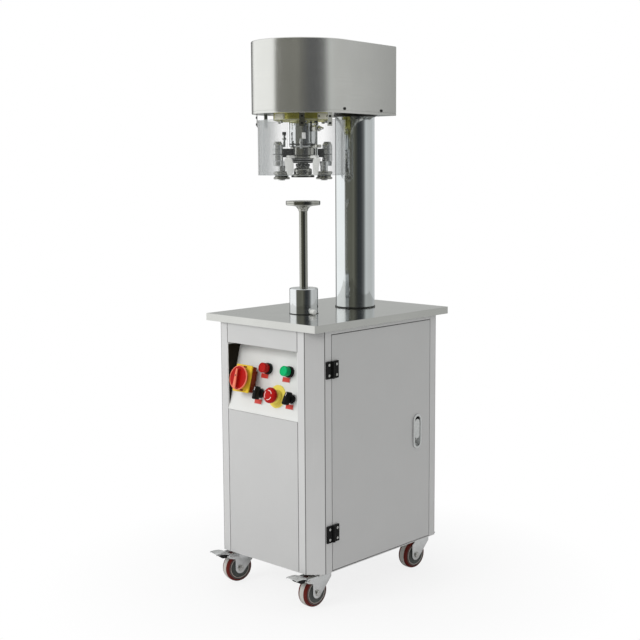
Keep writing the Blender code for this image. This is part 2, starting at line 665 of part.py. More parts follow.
def build_hinge(name, z, machine):
    """Two leaves on one pin, which stands out in front of the seam."""
    pin_x = HALF_WIDE + TOUCH + HINGE_KNUCKLE_R
    pin_y = SIDE_FRONT + SEAM / 2
    at = (pin_x, pin_y, 0)
    low = z - HINGE_TALL / 2
    high = z + HINGE_TALL / 2
    inner_low = z - HINGE_TALL / 6
    inner_high = z + HINGE_TALL / 6
    plate_low = HALF_WIDE + TOUCH
    plate_high = plate_low + HINGE_THICK
    bore_r = HINGE_PIN_R + RUN
    clear = HINGE_KNUCKLE_R + 1 * MM

    frame_leaf = add(f"{name}_frame_hinge", block((plate_low, pin_y - HINGE_LEAF, low),
                                                  (plate_high, pin_y, high)), BLACK, machine)
    cut(frame_leaf, block((plate_low - SHEET, pin_y - clear, inner_low - TOUCH),
                          (plate_high + SHEET, pin_y + SHEET, inner_high + TOUCH)))
    weld(frame_leaf, rod(HINGE_KNUCKLE_R, low, inner_low - TOUCH, at, facets=16),
         rod(HINGE_KNUCKLE_R, inner_high + TOUCH, high, at, facets=16),
         rod(HINGE_PIN_R, low + SHEET, high - SHEET, at, facets=16))

    door_plate = block((plate_low, pin_y, low), (plate_high, pin_y + HINGE_LEAF, high))
    door_leaf = add(f"{name}_door_hinge", door_plate, BLACK, machine, (pin_x, pin_y, z))
    cut(door_leaf, block((plate_low - SHEET, pin_y - SHEET, low - SHEET),
                         (plate_high + SHEET, pin_y + clear, inner_low)),
        block((plate_low - SHEET, pin_y - SHEET, inner_high),
              (plate_high + SHEET, pin_y + clear, high + SHEET)))
    weld(door_leaf, rod(HINGE_KNUCKLE_R, inner_low, inner_high, at, facets=16))
    cut(door_leaf, rod(bore_r, low, high, at, facets=16))


# Column and head.

def build_column(machine):
    at = (0, COLUMN_Y, 0)
    column = add("column", tube(COLUMN_R, COLUMN_R - COLUMN_WALL, FLANGE_LOW, HEAD_BASE_LOW - TOUCH, at,
                                facets=40), CHROME, machine)
    plate = prism(rectangle(COLUMN_FLANGE, COLUMN_FLANGE), FLANGE_LOW, FRAME_TOP, at)
    weld(column, plate)
    cut(column, rod(COLUMN_R - COLUMN_WALL, FLANGE_LOW - SHEET, FRAME_TOP + SHEET, at, facets=40))


def build_head(machine):
    inset = SHEET + TOUCH
    base = add("head_base", prism(head_outline(inset), HEAD_BASE_LOW, HEAD_BASE_HIGH), STEEL, machine)
    for angle in TAB_ANGLES:
        tab = block((GUARD_R + TOUCH, -TAB_WIDE / 2, TAB_LOW),
                    (GUARD_R + TOUCH + TAB_THICK, TAB_WIDE / 2, HEAD_BASE_LOW + WELD))
        tab.transform(Matrix.Translation((0, SPINDLE_Y, 0)) @ Matrix.Rotation(math.radians(angle), 4, "Z"))
        weld(base, tab)
    cut(base, rod(SPINDLE_R + RUN, HEAD_BASE_LOW - SHEET, HEAD_BASE_HIGH + SHEET, (0, SPINDLE_Y, 0)),
        rod(DRIVE_SHAFT_R + RUN, HEAD_BASE_LOW - SHEET, HEAD_BASE_HIGH + SHEET, (0, COLUMN_Y, 0)))
    cover = add("head_cover", prism(head_outline(0), HEAD_LOW, HEAD_HIGH), BRUSHED, machine)
    cut(cover, prism(head_outline(SHEET), HEAD_LOW - SHEET, HEAD_HIGH - SHEET))


def build_guard(machine):
    start = -90 - GUARD_HALF_SWEEP
    end = -90 + GUARD_HALF_SWEEP
    outline = (arc((0, SPINDLE_Y), GUARD_R, start, end, 30)
               + arc((0, SPINDLE_Y), GUARD_R - GUARD_THICK, end, start, 30))
    add("guard", prism(outline, GUARD_LOW, GUARD_HIGH), CLEAR, machine)


# Seaming gear. All of it is centred on the spindle's axis.

def build_bearing(machine):
    at = (0, SPINDLE_Y, 0)
    bore = SPINDLE_R + RUN
    add("bearing_flange", tube(BEARING_R, bore, BEARING_LOW, HEAD_BASE_LOW - TOUCH, at, facets=40),
        YELLOW_ZINC, machine)
    add("spindle_housing", tube(HOUSING_R, bore, HOUSING_LOW, BEARING_LOW - TOUCH, at), CHROME, machine)


def build_spindle(machine):
    at = (0, SPINDLE_Y, 0)
    chuck_top = CHUCK_LOW + CHUCK_TALL
    socket_deep = CHUCK_TALL - 5 * MM
    profile = [(0, chuck_top - socket_deep + TOUCH), (SPINDLE_TIP_R, chuck_top - socket_deep + TOUCH),
               (SPINDLE_TIP_R, chuck_top + TOUCH), (SPINDLE_R, chuck_top + TOUCH),
               (SPINDLE_R, SPINDLE_TOP), (0, SPINDLE_TOP)]
    add("spindle", turned(profile, at, facets=24), STEEL, machine, (0, SPINDLE_Y, chuck_top))
    bore = SPINDLE_TIP_R + TOUCH
    neck = 24 * MM
    collar = 17 * MM
    profile = [(0, CHUCK_LOW), (CHUCK_R, CHUCK_LOW), (CHUCK_R, CHUCK_LOW + 6 * MM),
               (neck, CHUCK_LOW + 8 * MM), (neck, CHUCK_LOW + 23 * MM), (collar, CHUCK_LOW + 25 * MM),
               (collar, chuck_top), (bore, chuck_top), (bore, chuck_top - socket_deep),
               (0, chuck_top - socket_deep)]
    add("seaming_chuck", turned(profile, at), CHROME, machine, (0, SPINDLE_Y, CHUCK_LOW))
    add("spindle_pulley", pulley(SPINDLE_PULLEY_R, SPINDLE_R + TOUCH, at), STEEL, machine,
        (0, SPINDLE_Y, PULLEY_LOW))


def pulley(radius, bore, at):
    rim = radius + 3 * MM
    edge = 3 * MM
    high = PULLEY_LOW + PULLEY_TALL
    profile = [(bore, PULLEY_LOW), (rim, PULLEY_LOW), (rim, PULLEY_LOW + edge), (radius, PULLEY_LOW + edge),
               (radius, high - edge), (rim, high - edge), (rim, high), (bore, high)]
    return turned(profile, at, facets=24)


def polar(distance, degrees, centre_y=SPINDLE_Y):
    angle = math.radians(degrees)
    return (distance * math.cos(angle), centre_y + distance * math.sin(angle))


def build_carrier(machine):
    at = (0, SPINDLE_Y, 0)
    top = HOUSING_LOW - TOUCH
    bore = SPINDLE_R + RUN
    carrier = add("roller_carrier", rod(CARRIER_R, CARRIER_LOW, top, at, facets=32), STEEL, machine)
    web = 7 * MM
    for turn in (0, 180):
        post = (*polar(POST_FROM_AXIS, POST_ANGLE + turn), 0)
        arm = block((CARRIER_R / 2, -web, CARRIER_LOW + 3 * MM), (POST_FROM_AXIS, web, top - 4 * MM))
        arm.transform(Matrix.Translation(at) @ Matrix.Rotation(math.radians(POST_ANGLE + turn), 4, "Z"))
        weld(carrier, arm, rod(POST_R, POST_LOW, POST_HIGH, post, facets=24))
        cut(carrier, rod(ARM_PIN_R + RUN, POST_LOW - SHEET, POST_HIGH + SHEET, post, facets=16))
    cut(carrier, rod(bore, CARRIER_LOW - SHEET, top + SHEET, at, facets=24))


def build_roller_arms(machine):
    """Each arm turns on a pin in its post and carries a roller on a short axle."""
    plate_high = POST_LOW - TOUCH
    plate_low = plate_high - ARM_THICK
    boss_low = ROLLER_LOW + ROLLER_TALL + TOUCH
    cap_high = ROLLER_LOW - TOUCH
    cap_low = cap_high - 2.5 * MM
    for side, turn in (("right", 0), ("left", 180)):
        post = (*polar(POST_FROM_AXIS, POST_ANGLE + turn), 0)
        axle = (*polar(ROLLER_FROM_AXIS, ROLLER_ANGLE + turn), 0)
        rounds = []
        for z in (plate_low, plate_high):
            rounds += [(x, y, z) for x, y in arc(post[:2], 12 * MM, 0, 345, 23)]
            rounds += [(x, y, z) for x, y in arc(axle[:2], 11 * MM, 0, 345, 23)]
        arm = add(f"{side}_roller_arm", hull(rounds), ZINC, machine, post)
        weld(arm, rod(ARM_PIN_R, plate_high - WELD, POST_HIGH + TOUCH + WELD, post, facets=16),
             rod(ARM_PIN_R + 3 * MM, POST_HIGH + TOUCH, POST_HIGH + 7 * MM, post, facets=16),
             rod(10 * MM, boss_low, plate_low + WELD, axle, facets=24),
             rod(ROLLER_AXLE_R, cap_low + WELD, boss_low + WELD, axle, facets=16),
             rod(9 * MM, cap_low, cap_high, axle, facets=16))
        bore = ROLLER_AXLE_R + RUN
        waist = ROLLER_R - 4 * MM
        high = ROLLER_LOW + ROLLER_TALL
        profile = [(bore, ROLLER_LOW), (ROLLER_R, ROLLER_LOW), (ROLLER_R, ROLLER_LOW + 5 * MM),
                   (waist, ROLLER_LOW + 8 * MM), (waist, ROLLER_LOW + 12 * MM),
                   (ROLLER_R, ROLLER_LOW + 15 * MM), (ROLLER_R - 1 * MM, high), (bore, high)]
        add(f"{side}_seaming_roller", turned(profile, axle, facets=24), CHROME, machine, axle)


# Drive.

def build_drive(machine):
    at = (0, COLUMN_Y, 0)
    plate_high = FLANGE_LOW - TOUCH
    plate_low = plate_high - 10 * MM
    motor_low = plate_low - MOTOR_TALL
    motor = add("motor", rod(MOTOR_R, motor_low, plate_low + WELD, at), MOTOR_PAINT, machine)
    weld(motor, prism(rectangle(MOTOR_PLATE, MOTOR_PLATE), plate_low, plate_high, at),
         block((-MOTOR_R - 32 * MM, COLUMN_Y - 32 * MM, motor_low + 70 * MM),
               (-MOTOR_R + 20 * MM, COLUMN_Y + 32 * MM, motor_low + 155 * MM)))
    cut(motor, rod(DRIVE_SHAFT_R + RUN, plate_high - MOTOR_SOCKET_DEEP, plate_high + SHEET, at, facets=16))
    shaft_low = plate_high - MOTOR_SOCKET_DEEP + 2 * MM
    shaft_high = PULLEY_LOW + PULLEY_TALL + 10 * MM
    add("drive_shaft", rod(DRIVE_SHAFT_R, shaft_low, shaft_high, at, facets=16), STEEL, machine,
        (0, COLUMN_Y, shaft_high))
    add("drive_pulley", pulley(DRIVE_PULLEY_R, DRIVE_SHAFT_R + TOUCH, at), STEEL, machine,
        (0, COLUMN_Y, PULLEY_LOW))
    slack = RUN
    belt_low = PULLEY_LOW + 4 * MM
    belt_high = PULLEY_LOW + PULLEY_TALL - 4 * MM
    belt = add("drive_belt", prism(belt_outline(slack + BELT_THICK), belt_low, belt_high), BLACK, machine)
    cut(belt, prism(belt_outline(slack), belt_low - SHEET, belt_high + SHEET))


# Cup platform and lift.

def build_lift(machine):
    at = (0, SPINDLE_Y, 0)
    hub_low = PLATFORM_TOP - PLATFORM_THICK - PLATFORM_HUB_TALL
    shoulder = hub_low - TOUCH
    tip = PLATFORM_TOP - 8 * MM
    profile = [(0, shoulder - ROD_LONG), (ROD_R, shoulder - ROD_LONG), (ROD_R, shoulder),
               (ROD_TIP_R, shoulder), (ROD_TIP_R, tip), (0, tip)]
    add("lift_rod", turned(profile, at, facets=24), STEEL, machine, (0, SPINDLE_Y, shoulder))
    bore = ROD_TIP_R + RUN
    rim_low = PLATFORM_TOP - PLATFORM_THICK + 3 * MM
    profile = [(bore, hub_low), (ROD_R + 3 * MM, hub_low), (PLATFORM_HUB_R, PLATFORM_TOP - PLATFORM_THICK),
               (PLATFORM_R, rim_low), (PLATFORM_R, PLATFORM_TOP), (0, PLATFORM_TOP),
               (0, tip + TOUCH), (bore, tip + TOUCH)]
    add("cup_platform", turned(profile, at, facets=40), STEEL, machine, (0, SPINDLE_Y, hub_low))

    flange_low = FRAME_TOP - LIFT_FLANGE_THICK
    actuator = add("lift_actuator", rod(LIFT_R, flange_low - LIFT_TALL, flange_low + WELD, at), MOTOR_PAINT,
                   machine)
    flange_half_y = LIFT_FLANGE / 2 + BEAM_WIDE
    weld(actuator, block((-LIFT_FLANGE, SPINDLE_Y - flange_half_y, flange_low),
                         (LIFT_FLANGE, SPINDLE_Y + flange_half_y, FRAME_TOP)))
    cut(actuator, rod(ROD_R + RUN, flange_low - LIFT_TALL + 10 * MM, FRAME_TOP + SHEET, at))

    collar_low = TABLE_TOP + TOUCH
    edge = 1.5 * MM
    collar_high = TABLE_TOP + COLLAR_TALL
    bore = ROD_R + RUN
    profile = [(bore, collar_low), (COLLAR_R, collar_low), (COLLAR_R, collar_high - edge),
               (COLLAR_R - edge, collar_high), (bore, collar_high)]
    collar = add("guide_collar", turned(profile, at, facets=40), CHROME, machine)
    clamp = Matrix.Translation((0, SPINDLE_Y, TABLE_TOP + CLAMP_UP)) @ Matrix.Rotation(
        math.radians(CLAMP_ANGLE), 4, "Z")
    hole = rod(CLAMP_R + RUN, ROD_R, COLLAR_R + SHEET, axis="X", facets=16)
    hole.transform(clamp)
    cut(collar, hole)
    knob_low = COLLAR_R + TOUCH
    knob_high = knob_low + CLAMP_KNOB_LONG
    profile = [(0, ROD_R + 2 * MM), (CLAMP_R, ROD_R + 2 * MM), (CLAMP_R, knob_low),
               (CLAMP_KNOB_R, knob_low), (CLAMP_KNOB_R, knob_high - 3 * MM),
               (CLAMP_KNOB_R - 4 * MM, knob_high), (0, knob_high)]
    screw = turned(profile, axis="X", facets=16)
    screw.transform(clamp)
    add("clamp_screw", screw, CHROME, machine, (*polar(knob_low, CLAMP_ANGLE), TABLE_TOP + CLAMP_UP))


# Casters. Each is built in its empty's frame: swivel axis at x = y = 0, trail towards -Y.

def build_caster(name, x, y, angle, brake, machine):
    hub = empty(f"{name}_caster", (x, y, 0), machine, (0, 0, -math.radians(angle)))
    plate_high = CASTER_TALL - TOUCH
    plate_low = plate_high - CASTER_PLATE_THICK
    plate = add(f"{name}_caster_plate", prism(rectangle(CASTER_PLATE, CASTER_PLATE), plate_low, plate_high,
                                              (x, y, 0)), ZINC, machine)
    cut(plate, rod(KINGPIN_R + RUN, plate_low - SHEET, plate_high + SHEET, (x, y, 0), facets=16))
    build_fork(name, plate_low, plate_high, brake, hub)
    build_wheel(name, hub)
    if brake:
        build_pedal(name, hub)


def build_fork(name, plate_low, plate_high, brake, hub):
    inner = WHEEL_WIDE / 2 + FORK_SIDE_GAP
    outer = inner + FORK_SHEET
    back = CROWN_R - 2 * MM
    front = -CROWN_R - 2 * MM
    fork = add(f"{name}_fork", block((-outer, front, FORK_BRIDGE_LOW), (outer, back, FORK_BRIDGE_HIGH)),
               ZINC, hub)
    weld(fork, rod(CROWN_R, FORK_BRIDGE_HIGH - WELD, plate_low - TOUCH, facets=24),
         rod(KINGPIN_R, plate_low - TOUCH - WELD, plate_high - TOUCH, facets=16))
    foot_r = 15 * MM
    rounds = arc((-CASTER_TRAIL, AXLE_Z), foot_r, 0, 337.5, 15)
    rounds += [(-CASTER_TRAIL - foot_r, FORK_BRIDGE_LOW - 10 * MM)]
    rounds += [(front, FORK_BRIDGE_HIGH - WELD), (back, FORK_BRIDGE_HIGH - WELD),
               (back, FORK_BRIDGE_LOW - 8 * MM)]
    ear = arc((PEDAL_PIN_Y, PEDAL_PIN_Z), 7 * MM, 0, 337.5, 15)
    ear += [(front + 2 * MM, FORK_BRIDGE_HIGH - WELD), (front + 2 * MM, PEDAL_PIN_Z - 16 * MM)]
    for low, high in ((-outer, -inner), (inner, outer)):
        weld(fork, hull([(x, y, z) for x in (low, high) for y, z in rounds]))
        if brake:
            weld(fork, hull([(x, y, z) for x in (low + 0.2 * MM, high - 0.2 * MM) for y, z in ear]))
    nut = 6 * MM
    axle_at = (0, -CASTER_TRAIL, AXLE_Z)
    weld(fork, rod(AXLE_R, -outer - nut, outer + nut, axle_at, "X", 16),
         rod(8 * MM, outer - WELD, outer + nut, axle_at, "X", 6),
         rod(8 * MM, -outer - nut, -outer + WELD, axle_at, "X", 6))
    if brake:
        weld(fork, rod(PEDAL_PIN_R, -outer - 2 * MM, outer + 2 * MM, (0, PEDAL_PIN_Y, PEDAL_PIN_Z), "X", 12))


def build_wheel(name, hub):
    """The rim's flats lie on the wheel's radius, so one of them rests on the floor."""
    over = WHEEL_CORNER_R / WHEEL_R
    half = WHEEL_WIDE / 2
    edge = 5 * MM
    bore = AXLE_R + RUN
    dish = 2 * MM
    rim_r = WHEEL_R * 0.76
    profile = [(bore, dish - half), (rim_r, dish - half), (rim_r + dish, -half),
               ((WHEEL_R - edge / 2) * over, -half), (WHEEL_CORNER_R, edge - half),
               (WHEEL_CORNER_R, half - edge), ((WHEEL_R - edge / 2) * over, half),
               (rim_r + dish, half), (rim_r, half - dish), (bore, half - dish)]
    at = (0, -CASTER_TRAIL, AXLE_Z)
    add(f"{name}_wheel", turned(profile, at, "X", WHEEL_FACETS), RUBBER, hub, at)


def build_pedal(name, hub):
    """A tread plate on a cross pin, with a cam that meets the wheel when it is trodden down."""
    at = (0, PEDAL_PIN_Y, PEDAL_PIN_Z)
    inner = WHEEL_WIDE / 2 + FORK_SIDE_GAP - RUN
    half = PEDAL_WIDE / 2
    neck_y = PEDAL_PIN_Y - 9 * MM
    neck_z = PEDAL_PIN_Z + 4 * MM
    tip_y = PEDAL_PIN_Y - PEDAL_LONG
    tip_z = PEDAL_PIN_Z + PEDAL_RISE
    web = PEDAL_BARREL_R - 1 * MM
    pedal = add(f"{name}_brake_pedal", rod(PEDAL_BARREL_R, -inner, inner, at, "X", 16), ZINC, hub, at)
    link = [(PEDAL_PIN_Y, PEDAL_PIN_Z + web), (PEDAL_PIN_Y, PEDAL_PIN_Z - web),
            (neck_y - 3 * MM, neck_z - PEDAL_THICK), (neck_y - 3 * MM, neck_z)]
    tread = [(neck_y, neck_z), (neck_y, neck_z - PEDAL_THICK), (tip_y, tip_z - PEDAL_THICK), (tip_y, tip_z)]
    cam_long = PEDAL_PIN_OUT - WHEEL_CORNER_R - 0.5 * MM
    cam_angle = math.radians(PEDAL_PIN_ANGLE - 180 - PEDAL_LEAN)
    cam_tip = (PEDAL_PIN_Y + cam_long * math.cos(cam_angle), PEDAL_PIN_Z + cam_long * math.sin(cam_angle))
    cam = arc((PEDAL_PIN_Y, PEDAL_PIN_Z), web, 0, 330, 11) + [cam_tip]
    weld(pedal, prism(link, -inner, inner, axis="X"), prism(tread, -half, half, axis="X"),
         hull([(x, y, z) for x in (-10 * MM, 10 * MM) for y, z in cam]))
    cut(pedal, rod(PEDAL_PIN_R + RUN, -half, half, at, "X", 12))


def centre_box(machine):
    """Moves the machine so that the origin lies under the middle of its overall box."""
    bpy.context.view_layer.update()
    graph = bpy.context.evaluated_depsgraph_get()
    points = [item.matrix_world @ vertex.co
              for item in bpy.context.scene.objects if item.type == "MESH" and not item.hide_render
              for vertex in item.evaluated_get(graph).data.vertices]
    for side in (0, 1):
        places = [point[side] for point in points]
        machine.location[side] = -(min(places) + max(places)) / 2


def main():
    clear_scene()
    machine = empty("machine")
    build_frame(machine)
    build_gland(machine)
    build_panels(machine)
    build_tabletop(machine)
    face = empty("control_face", (0, CABINET_FRONT, RECESS_LOW), machine, (math.pi / 2 - SLANT, 0, 0))
    build_control_panel(face)
    build_push_button("stop_button", STOP_AT, RED, face)
    build_push_button("start_button", START_AT, GREEN, face)
    build_emergency_stop(face)
    build_selector("left_selector", LEFT_SELECTOR_AT, face)
    build_selector("right_selector", RIGHT_SELECTOR_AT, face)
    build_main_switch(face)
    build_door(machine)
    for name, z in HINGE_HEIGHTS:
        build_hinge(name, z, machine)
    build_column(machine)
    build_head(machine)
    build_guard(machine)
    build_bearing(machine)
    build_spindle(machine)
    build_carrier(machine)
    build_roller_arms(machine)
    build_drive(machine)
    build_lift(machine)
    for caster in CASTERS:
        build_caster(*caster, machine)
    centre_box(machine)


main()
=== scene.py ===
"""The visual model of the cup seaming machine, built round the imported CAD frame.

Shapes are written in millimetres. x = 0 and y = 0 are the middle of the tabletop, and z = 0 is
the floor. Directions in plan are degrees from +X towards +Y.
"""

import math

import bmesh
import bpy
from mathutils import Matrix, Vector


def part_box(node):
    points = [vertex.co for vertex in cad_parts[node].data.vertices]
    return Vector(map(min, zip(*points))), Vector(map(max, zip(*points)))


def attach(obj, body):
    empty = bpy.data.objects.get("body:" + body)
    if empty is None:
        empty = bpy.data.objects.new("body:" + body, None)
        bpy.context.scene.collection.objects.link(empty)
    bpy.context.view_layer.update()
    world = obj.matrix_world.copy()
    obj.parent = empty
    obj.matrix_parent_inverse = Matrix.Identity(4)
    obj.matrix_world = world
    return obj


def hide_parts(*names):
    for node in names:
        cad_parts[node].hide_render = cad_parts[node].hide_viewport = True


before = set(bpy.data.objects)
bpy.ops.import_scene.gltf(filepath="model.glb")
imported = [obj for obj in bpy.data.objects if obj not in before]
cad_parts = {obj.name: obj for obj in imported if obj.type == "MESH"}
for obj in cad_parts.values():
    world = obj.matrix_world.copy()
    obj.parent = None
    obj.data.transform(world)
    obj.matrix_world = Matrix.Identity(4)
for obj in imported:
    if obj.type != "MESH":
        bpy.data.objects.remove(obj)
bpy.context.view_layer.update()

MM = 0.001
TABLE_LOW, TABLE_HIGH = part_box("tabletop")
SHIFT_Y = (TABLE_LOW.y + TABLE_HIGH.y) / 2
TO_WORLD = Matrix.Translation((0, SHIFT_Y, 0)) @ Matrix.Scale(MM, 4)


def heights(name):
    """A CAD node's lowest and highest height in millimetres."""
    low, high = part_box(name)
    return low.z / MM, high.z / MM


# Places that follow the CAD.
TABLE_TOP = TABLE_HIGH.z / MM
HALF_WIDE = 190        # the cabinet, from its middle to its side
HALF_DEEP = 260
CABINET_Y = 2.5
CHAMFER = 36
FRONT = CABINET_Y - HALF_DEEP
SPINDLE_Y = -99
SPINDLE = (0, SPINDLE_Y, 0)
COLUMN_Y = 106
COLUMN_R = 54
HEAD_LOW, HEAD_HIGH = heights("head_cover")
HEAD_R = 132
HEAD_BACK_Y = 163
HEAD_BACK_HALF = 99
RECESS_LOW = 488.5
CHEEK_X = 127
SLANT = math.atan2(48, 180)
FACE = Matrix.Translation((0, FRONT, RECESS_LOW)) @ Matrix.Rotation(math.pi / 2 - SLANT, 4, "X")
SCREW_LEVELS = (120, 400, 690)
WHEEL_R = 39.5
TRAIL = 28             # from a caster's swivel axis back to its axle
# Each caster's name, place, turn in degrees, and whether it has a brake.
CASTERS = (
    ("front_left", -141, -191, 13, True),
    ("front_right", 141, -191, 3, True),
    ("rear_left", -141, 215.5, 12, False),
    ("rear_right", 141, 215.5, 5, False),
)


# Materials. Each one has a grain, a slow change of tone, and a bump.

def nodes_of(name):
    material = bpy.data.materials.new(name)
    material.use_nodes = True
    tree = material.node_tree
    return material, tree, tree.nodes["Principled BSDF"]


def node(tree, kind, inputs=(), **values):
    """A new node, with the values of its inputs and of its own settings."""
    made = tree.nodes.new("ShaderNode" + kind)
    for key, value in values.items():
        setattr(made, key, value)
    for key, value in dict(inputs).items():
        made.inputs[key].default_value = value
    return made


def noise(tree, scale, detail=3.0):
    """Noise in the object's own space, with a scale for each axis in waves per metre."""
    place = node(tree, "TexCoord")
    mapping = node(tree, "Mapping", {"Scale": scale})
    made = node(tree, "TexNoise", {"Scale": 1.0, "Detail": detail})
    tree.links.new(place.outputs["Object"], mapping.inputs["Vector"])
    tree.links.new(mapping.outputs["Vector"], made.inputs["Vector"])
    return made.outputs["Fac"]


def span(tree, value, low, high, start=0.3, end=0.7):
    """Maps a value that runs from start to end onto low to high."""
    made = node(tree, "MapRange",
                {"From Min": start, "From Max": end, "To Min": low, "To Max": high})
    tree.links.new(value, made.inputs["Value"])
    return made.outputs["Result"]


def blended(tree, factor, first, second):
    """A mix of two colours, each one plain or a socket."""
    made = node(tree, "Mix", data_type="RGBA")
    tree.links.new(factor, made.inputs[0])
    for socket, colour in ((made.inputs[6], first), (made.inputs[7], second)):
        if isinstance(colour, tuple):
            socket.default_value = (*colour, 1)
        else:
            tree.links.new(colour, socket)
    return made.outputs[2]


def math_node(tree, operation, first, second=None):
    made = node(tree, "Math", operation=operation)
    for socket, value in zip(made.inputs, (first, second)):
        if isinstance(value, (int, float)):
            socket.default_value = value
        elif value is not None:
            tree.links.new(value, socket)
    return made.outputs[0]


def coordinates(tree, output):
    """The X, Y and Z sockets of a texture coordinate."""
    place = node(tree, "TexCoord")
    split = node(tree, "SeparateXYZ")
    tree.links.new(place.outputs[output], split.inputs[0])
    return split.outputs


def surface(name, colour, rough, metal, grain, vary, cloud, bump, gloss=0.5, alpha=1.0):
    """A Principled material.

    grain is the fine noise's scale, for all axes or for each. vary and cloud are how far the fine
    and the slow noise move the colour.
    """
    material, tree, shader = nodes_of(name)
    fine = noise(tree, grain if isinstance(grain, tuple) else (grain,) * 3)
    slow = noise(tree, (9, 9, 9), 2.0)
    tone = blended(tree, span(tree, fine, 0, 1), tuple(c * (1 - vary) for c in colour),
                   tuple(min(1, c * (1 + vary)) for c in colour))
    tone = blended(tree, span(tree, slow, 0, 1), tone, tuple(c * (1 - cloud) for c in colour))
    tree.links.new(tone, shader.inputs["Base Color"])
    tree.links.new(span(tree, fine, rough * 0.85, rough * 1.15), shader.inputs["Roughness"])
    relief = node(tree, "Bump", {"Strength": bump, "Distance": 0.05 * MM})
    tree.links.new(fine, relief.inputs["Height"])
    tree.links.new(relief.outputs["Normal"], shader.inputs["Normal"])
    shader.inputs["Metallic"].default_value = metal
    shader.inputs["Specular IOR Level"].default_value = gloss
    shader.inputs["Alpha"].default_value = alpha
    return material


def tint(material, share, colour):
    """Mixes a colour into a material's own, by a share from 0 to 1."""
    tree = material.node_tree
    shader = tree.nodes["Principled BSDF"]
    plain = shader.inputs["Base Color"].links[0].from_socket
    tree.links.new(blended(tree, share, plain, colour), shader.inputs["Base Color"])


def thicken_rim(material):
    """A clear sheet looks denser where it turns away from the eye."""
    tree = material.node_tree
    weight = node(tree, "LayerWeight", {"Blend": 0.5})
    tree.links.new(span(tree, weight.outputs["Facing"], 0.05, 0.5, 0.12, 0.52),
                   tree.nodes["Principled BSDF"].inputs["Alpha"])


def paint_back_shade(material):
    """Painted shade: the head's brushed sheet is darkened towards its back."""
    tree = material.node_tree
    along = coordinates(tree, "Object")["Y"]
    share = span(tree, along, 0, 1, SHIFT_Y - 60 * MM, SHIFT_Y + 165 * MM)
    # painted shade: mixes in up to 60 percent of a darker grey towards the back
    tint(material, math_node(tree, "MULTIPLY", share, 0.6), (0.40, 0.40, 0.385))


def paint_fold_shade(material):
    """Paints shade as a fine dark line down each fold of the cabinet's four corner posts."""
    tree = material.node_tree
    place = coordinates(tree, "Object")
    across = math_node(tree, "ABSOLUTE", place["X"])
    middle = SHIFT_Y + CABINET_Y * MM
    along = math_node(tree, "ABSOLUTE", math_node(tree, "SUBTRACT", place["Y"], middle))
    folds = ((HALF_WIDE - CHAMFER, HALF_DEEP), (HALF_WIDE, HALF_DEEP - CHAMFER))
    away = []
    for fold_x, fold_y in folds:
        squares = []
        for value, fold in ((across, fold_x), (along, fold_y)):
            off = math_node(tree, "SUBTRACT", value, fold * MM)
            squares.append(math_node(tree, "POWER", math_node(tree, "ABSOLUTE", off), 2.0))
        away.append(math_node(tree, "SQRT", math_node(tree, "ADD", *squares)))
    nearest = math_node(tree, "MINIMUM", *away)
    # painted shade: darkens the colour within about 1.7 mm of each fold
    tint(material, span(tree, nearest, 1.0, 0.0, 0.7 * MM, 1.7 * MM), (0.10, 0.10, 0.10))


BRUSHED_UP = (900, 900, 14)
TURNED = (30, 30, 1500)
